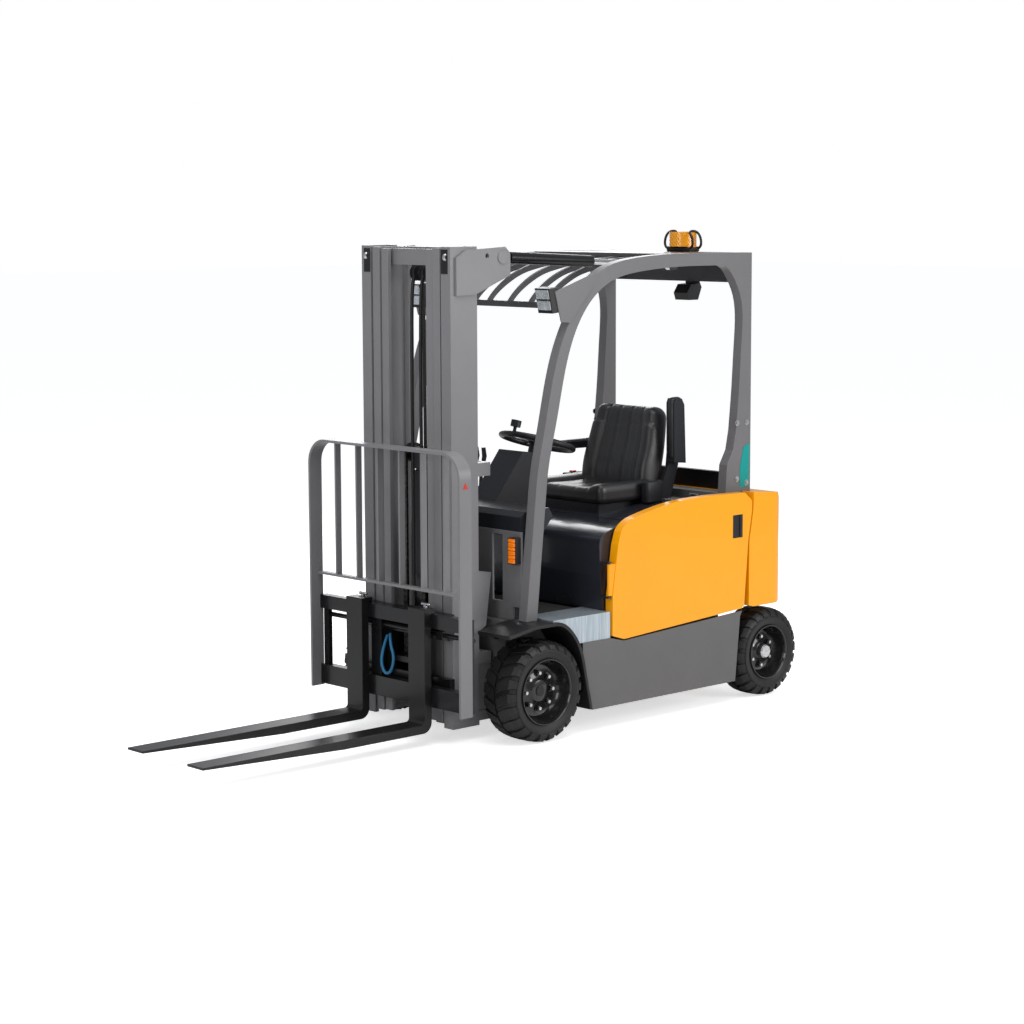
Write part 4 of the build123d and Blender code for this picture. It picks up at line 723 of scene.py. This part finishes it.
low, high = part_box("headlamps")
for hand in (-1, 1):
    left_edge = min(hand * (high[0] - 0.086), hand * (high[0] - 0.006))
    for tier in (0, 1):
        bottom = low[2] + 0.014 + tier * 0.048
        shape = bmesh.new()
        block(shape, (left_edge, low[1] - 0.004, bottom),
              (left_edge + 0.080, low[1] + 0.016, bottom + 0.042), 0.003)
        lean_back(shape, low, high)
        fitted(f"lamp_cell_{tier}_{hand + 1}", shape, reflector, "chassis")
        shape = bmesh.new()
        block(shape, (left_edge + 0.002, low[1] - 0.009, bottom + 0.002),
              (left_edge + 0.078, low[1] - 0.0045, bottom + 0.040), 0.002)
        lean_back(shape, low, high)
        fitted(f"lamp_lens_{tier}_{hand + 1}", shape, clear_lens, "chassis")


# Amber indicators on the cowl: a black base with a ribbed amber lens.
# Each lens is six low ribs, one above the other.
amber_lens, tree, out = new_material("amber_lens")
where = tree.nodes.new("ShaderNodeTexCoord")
bands = set_inputs(tree.nodes.new("ShaderNodeTexWave"), {"Scale": 26.0, "Distortion": 0.3})
bands.bands_direction = "Z"
tree.links.new(where.outputs["Object"], bands.inputs["Vector"])
ribbed = set_inputs(tree.nodes.new("ShaderNodeBump"), {"Strength": 0.5, "Distance": 0.002})
tree.links.new(bands.outputs["Fac"], ribbed.inputs["Height"])
amber_shell = set_inputs(tree.nodes.new("ShaderNodeBsdfPrincipled"),
                         {"Roughness": 0.18, "Transmission Weight": 0.15, "Emission Strength": 0.25,
                          "Emission Color": (1.0, 0.30, 0.01, 1)})
tree.links.new(mix_colour(tree, (1.0, 0.22, 0.0, 1), (0.75, 0.10, 0.0, 1), bands.outputs["Fac"]),
               amber_shell.inputs["Base Color"])
tree.links.new(ribbed.outputs["Normal"], amber_shell.inputs["Normal"])
tree.links.new(amber_shell.outputs[0], out.inputs["Surface"])
coat_nodes(fender_black, "indicator_lamps")
low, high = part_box("indicator_lamps")
shape = bmesh.new()
for hand in (-1, 1):
    start = min(hand * (high[0] - 0.044), hand * (high[0] - 0.002))
    for tier in range(6):
        bottom = low[2] + 0.004 + tier * 0.0185
        block(shape, (start, low[1] - 0.005, bottom), (start + 0.042, low[1] + 0.024, bottom + 0.0172), 0.004)
rounded_shade(fitted("amber_ribs", shape, amber_lens, "chassis"), 60)


# Beacon: a yellow lens on a black base.
# A black wire cage with a hoop at each end guards it.
beacon_lens, tree, out = new_material("beacon_lens")
where = tree.nodes.new("ShaderNodeTexCoord")
flutes = set_inputs(tree.nodes.new("ShaderNodeTexWave"), {"Scale": 30.0})
flutes.bands_direction = "DIAGONAL"
tree.links.new(where.outputs["Object"], flutes.inputs["Vector"])
fluted = set_inputs(tree.nodes.new("ShaderNodeBump"), {"Strength": 0.4, "Distance": 0.002})
tree.links.new(flutes.outputs["Fac"], fluted.inputs["Height"])
beacon_shell = set_inputs(tree.nodes.new("ShaderNodeBsdfPrincipled"),
                          {"Roughness": 0.15, "Transmission Weight": 0.2, "Coat Weight": 0.5})
tree.links.new(mix_colour(tree, (1.0, 0.42, 0.0, 1), (0.9, 0.33, 0.0, 1), flutes.outputs["Fac"]),
               beacon_shell.inputs["Base Color"])
tree.links.new(fluted.outputs["Normal"], beacon_shell.inputs["Normal"])
tree.links.new(beacon_shell.outputs[0], out.inputs["Surface"])
coat_nodes(beacon_lens, "beacon")


def wire(name, runs, radius, material, body):
    line = bpy.data.curves.new(name, "CURVE")
    line.dimensions, line.bevel_depth, line.bevel_resolution, line.resolution_u = "3D", radius, 2, 6
    line.use_fill_caps = True
    for points in runs:
        run = line.splines.new("NURBS")
        run.points.add(len(points) - 1)
        for spot, point in zip(run.points, points):
            spot.co = (*point, 1)
        run.order_u = 3
        run.use_endpoint_u = True
    holder = bpy.data.objects.new(name, line)
    scene.collection.objects.link(holder)
    shape = bmesh.new()
    drawn = bpy.data.meshes.new_from_object(holder.evaluated_get(bpy.context.evaluated_depsgraph_get()))
    shape.from_mesh(drawn)
    bpy.data.objects.remove(holder)
    return rounded_shade(fitted(name, shape, material, body), 50)


low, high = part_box("beacon")
middle_x, middle_y, top = (low[0] + high[0]) / 2, (low[1] + high[1]) / 2, high[2]
hoops = []
for hand in (-1, 1):
    foot, bulge = middle_x + hand * 0.064, middle_x + hand * 0.092
    upright = [(foot, low[2] + 0.012), (bulge, low[2] + 0.02), (bulge, top - 0.03), (foot, top + 0.004)]
    hoops.append([(x, middle_y - 0.03, z) for x, z in upright]
                 + [(x, middle_y + 0.03, z) for x, z in reversed(upright)])
wire("beacon_cage", hoops, 0.006, fender_black, "chassis")
shape = bmesh.new()
block(shape, (middle_x - 0.078, middle_y - 0.036, low[2] + 0.0005),
      (middle_x + 0.078, middle_y + 0.036, low[2] + 0.024), 0.006)
rounded_shade(fitted("beacon_base", shape, fender_black, "chassis"), 60)


# Mast dressing: leaf chains from the chain wheels to the carriage, hoses that run between them over small
# pulleys, thin black plates at the outer rails' tops that paint the shade of the roller pockets, with bright
# rollers in them, and the hose in the carriage.
copies_along = bpy.data.node_groups.new("copies_along", "GeometryNodeTree")
for label, way, kind in (("Geometry", "INPUT", "NodeSocketGeometry"), ("Count", "INPUT", "NodeSocketInt"),
                         ("Step", "INPUT", "NodeSocketVector"), ("Material", "INPUT", "NodeSocketMaterial"),
                         ("Geometry", "OUTPUT", "NodeSocketGeometry")):
    copies_along.interface.new_socket(label, in_out=way, socket_type=kind)
given = copies_along.nodes.new("NodeGroupInput")
made = copies_along.nodes.new("NodeGroupOutput")
places = copies_along.nodes.new("GeometryNodeMeshLine")
copy_here = copies_along.nodes.new("GeometryNodeInstanceOnPoints")
realize = copies_along.nodes.new("GeometryNodeRealizeInstances")
finish = copies_along.nodes.new("GeometryNodeSetMaterial")
copies_along.links.new(given.outputs["Count"], places.inputs["Count"])
copies_along.links.new(given.outputs["Step"], places.inputs["Offset"])
copies_along.links.new(places.outputs["Mesh"], copy_here.inputs["Points"])
copies_along.links.new(given.outputs["Geometry"], copy_here.inputs["Instance"])
copies_along.links.new(copy_here.outputs[0], realize.inputs[0])
copies_along.links.new(realize.outputs[0], finish.inputs["Geometry"])
copies_along.links.new(given.outputs["Material"], finish.inputs["Material"])
copies_along.links.new(finish.outputs[0], made.inputs[0])

low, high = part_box("carriage_chains")
link_pitch = 0.0254
links = int((high[2] - low[2]) / link_pitch)
shape = bmesh.new()
for hand in (-1, 1):
    middle_x, middle_y = hand * (high[0] - 0.012), (low[1] + high[1]) / 2
    one = bmesh.new()
    for plate in range(4):
        at = middle_x - 0.0105 + plate * 0.007
        tall = 0.0118 if plate % 2 else 0.0110
        block(one, (at - 0.0024, middle_y - 0.0068, low[2] + 0.001),
              (at + 0.0024, middle_y + 0.0068, low[2] + 2 * tall), 0.0012)
    shape.from_mesh(repeated(copies_along, one,
                             {"Count": links, "Step": (0, 0, link_pitch), "Material": chain_steel}, "links"))
rounded_shade(fitted("lift_chain_plates", shape, chain_steel, "carriage"), 40)

hose_rubber = moulded("hose_rubber", (0.010, 0.010, 0.010, 1), (0.014, 0.014, 0.014, 1), 0.45)
hose_blue = moulded("hose_blue", (0.02, 0.16, 0.30, 1), (0.015, 0.12, 0.25, 1), 0.35)
rails_low, rails_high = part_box("mast_inner_rails")
hose_x, pulley_z = 0.030, 2.072
hose_route = [(0.055, 0.70), (0.052, 1.20), (0.052, 1.80), (0.060, 2.06), (0.100, 2.095), (0.125, 2.05),
              (0.128, 1.30), (0.128, 0.30)]
wire("mast_hoses", [[(hand * hose_x, rails_low[1] + depth, z) for depth, z in hose_route] for hand in (-1, 1)],
     0.008, hose_rubber, "mast_inner")
shape = bmesh.new()
for hand in (-1, 1):
    turned(shape, [(-0.014, 0.036), (-0.010, 0.036), (-0.008, 0.030), (0.008, 0.030), (0.010, 0.036),
                   (0.014, 0.036), (0.014, axis_gap), (-0.014, axis_gap)],
           (hand * hose_x, rails_low[1] + 0.092, pulley_z), 1, 32)
rounded_shade(fitted("hose_pulleys", shape, fender_black, "mast_inner"))

rails_low, rails_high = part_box("mast_outer_rails")
shape = bmesh.new()
rollers = bmesh.new()
for hand in (-1, 1):
    edge_x = hand * 0.262
    block(shape, (edge_x - 0.022, rails_low[1] - 0.0015, rails_high[2] - 0.118),
          (edge_x + 0.022, rails_low[1] + 0.002, rails_high[2] - 0.012), 0.001)
    turned(rollers, [(-0.008, axis_gap), (-0.008, 0.014), (-0.005, 0.018), (0.005, 0.018), (0.008, 0.014),
                     (0.008, axis_gap)],
           (edge_x + hand * 0.006, rails_low[1] + 0.006, rails_high[2] - 0.045), 1, 24)
# These black plates are painted shade: flat sheets on the rail fronts in place of the shadowed roller pockets.
fitted("roller_pocket_painted_shade", shape, fender_black, "mast_outer")
rounded_shade(fitted("top_rollers", rollers, bright_steel, "mast_outer"))
shape = bmesh.new()
for hand in (-1, 1):
    turned(shape, [(-0.016, axis_gap), (-0.016, 0.011), (0.016, 0.011), (0.016, axis_gap)],
           (hand * hose_x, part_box("mast_inner_rails")[0][1] + 0.092, pulley_z), 1, 20)
rounded_shade(fitted("pulley_pins", shape, bright_steel, "mast_inner"))

plate_low, plate_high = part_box("carriage")
wire("carriage_hose", [[(-0.075, plate_low[1] + 0.02, 0.45), (-0.070, plate_low[1] - 0.030, 0.36),
                        (-0.030, plate_low[1] - 0.040, 0.285), (0.020, plate_low[1] - 0.040, 0.300),
                        (0.030, plate_low[1] - 0.030, 0.370), (-0.010, plate_low[1] - 0.020, 0.420),
                        (-0.045, plate_low[1] + 0.01, 0.46)]], 0.007, hose_blue, "carriage")


# Body trim: bolts and a plain plate on each rear post, the recess with its pull in each door, the T-pins that
# lock the forks, and a bright strip and a red mark on the load backrest.
shape = bmesh.new()
post_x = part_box("guard_side_left")[1][0]
for hand in (-1, 1):
    side_x = hand * post_x
    for y, z in ((1352, 1062), (1420, 1040), (1352, 1330), (1420, 1330)):
        prism(shape, 0.0, 0.008, 0.0095, 6, (side_x, *from_axle(0, y, z)[1:]), side=hand)
        prism(shape, 0.0, 0.002, 0.014, 20, (side_x, *from_axle(0, y, z)[1:]), side=hand)
fitted("post_bolts", shape, bright_steel, "chassis")


def flat_plate(shape, outline, near_x, far_x):
    """A thin plate between two places along X, with an outline of (y, z) points."""
    near = [shape.verts.new((near_x, y, z)) for y, z in outline]
    far = [shape.verts.new((far_x, y, z)) for y, z in outline]
    shape.faces.new(near)
    shape.faces.new(far)
    for one in range(len(outline)):
        two = (one + 1) % len(outline)
        shape.faces.new((near[one], near[two], far[two], far[one]))


teal = painted_steel("teal_plate", (0.0, 0.30, 0.27, 1), (0.0, 0.26, 0.24, 1), 0.35, 0.2, 0.0)
teal_outline = [(1372, 1020), (1436, 1024), (1440, 1230), (1398, 1212), (1374, 1120)]
for hand in (-1, 1):
    shape = bmesh.new()
    flat_plate(shape, [from_axle(0, y, z)[1:] for y, z in teal_outline], hand * (post_x + 0.0003),
               hand * (post_x + 0.0016))
    fitted(f"post_plate_{hand + 1}", shape, teal, "chassis")

for hand, door in ((1, "side_door_left"), (-1, "side_door_right")):
    face_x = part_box(door)[1][0] if hand > 0 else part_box(door)[0][0]
    shape = bmesh.new()
    y, z = from_axle(0, 1268, 850)[1:]
    block(shape, (min(face_x - hand * 0.001, face_x + hand * 0.0012), y - 0.034, z - 0.055),
          (max(face_x - hand * 0.001, face_x + hand * 0.0012), y + 0.034, z + 0.055), 0.0008)
    fitted(door + "_recess", shape, fender_black, door)
    shape = bmesh.new()
    block(shape, (min(face_x, face_x + hand * 0.006), y + 0.012, z - 0.050),
          (max(face_x, face_x + hand * 0.006), y + 0.026, z + 0.050), 0.002)
    rounded_shade(fitted(door + "_pull", shape, console_black, door), 60)

shape = bmesh.new()
bar_low, bar_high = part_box("fork_carriage")
for pin_x in (-0.215, 0.215):
    block(shape, (pin_x - 0.008, bar_low[1] + 0.008, bar_high[2] - 0.002),
          (pin_x + 0.008, bar_low[1] + 0.024, bar_high[2] + 0.034), 0.003)
    block(shape, (pin_x - 0.026, bar_low[1] + 0.009, bar_high[2] + 0.030),
          (pin_x + 0.026, bar_low[1] + 0.023, bar_high[2] + 0.044), 0.005)
rounded_shade(fitted("fork_pins", shape, bright_steel, "sideshift"), 50)

silver_strip = bare_metal("silver_strip", (0.75, 0.76, 0.78, 1), (0.62, 0.63, 0.65, 1), 0.3)
shape = bmesh.new()
rest_low, rest_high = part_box("load_backrest")
block(shape, (rest_low[0] - 0.0012, rest_low[1] + 0.010, 0.20), (rest_low[0] - 0.0002, rest_low[1] + 0.022, 0.60))
fitted("backrest_strip", shape, silver_strip, "sideshift")
mark_red = painted_steel("mark_red", (0.60, 0.03, 0.01, 1), (0.52, 0.025, 0.01, 1), 0.35, 0.1, 0.0)
shape = bmesh.new()
mark_y, mark_z = rest_low[1] + 0.018, 1.165
flat_plate(shape, [(mark_y, mark_z), (mark_y + 0.030, mark_z), (mark_y + 0.015, mark_z + 0.026)],
           rest_high[0] + 0.0002, rest_high[0] + 0.0014)
fitted("backrest_mark", shape, mark_red, "sideshift")


# Pressed and cut edges: the steel and plastic pieces get a small round on each sharp edge, as paint and
# moulding leave them, so that the edges catch the light.
soft_edges = bpy.data.node_groups.new("welded_faces", "GeometryNodeTree")
soft_edges.interface.new_socket("Geometry", in_out="INPUT", socket_type="NodeSocketGeometry")
soft_edges.interface.new_socket("Geometry", in_out="OUTPUT", socket_type="NodeSocketGeometry")
given = soft_edges.nodes.new("NodeGroupInput")
made = soft_edges.nodes.new("NodeGroupOutput")
forget = soft_edges.nodes.new("GeometryNodeRemoveAttribute")
forget.inputs["Name"].default_value = "custom_normal"
weld = soft_edges.nodes.new("GeometryNodeMergeByDistance")
weld.inputs["Distance"].default_value = 0.00002
soft_edges.links.new(given.outputs[0], forget.inputs[0])
soft_edges.links.new(forget.outputs[0], weld.inputs[0])
soft_edges.links.new(weld.outputs[0], made.inputs[0])


def round_edges(width, *nodes):
    for name in nodes:
        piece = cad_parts[name]
        piece.modifiers.new("weld", "NODES").node_group = soft_edges
        round_off = piece.modifiers.new("round", "BEVEL")
        round_off.width, round_off.segments, round_off.limit_method = width, 2, "ANGLE"
        round_off.angle_limit = math.radians(32)
        round_off.harden_normals = True


round_edges(0.0022, "frame", "guard_side_left", "guard_side_right", "cowl", "mast_outer_rails", "mast_middle_rails",
            "mast_inner_rails", "forks", "fork_carriage", "carriage")
round_edges(0.004, "side_door_left", "side_door_right", "counterweight", "dash", "deck_front", "seat_deck",
            "front_fenders")

low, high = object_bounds()
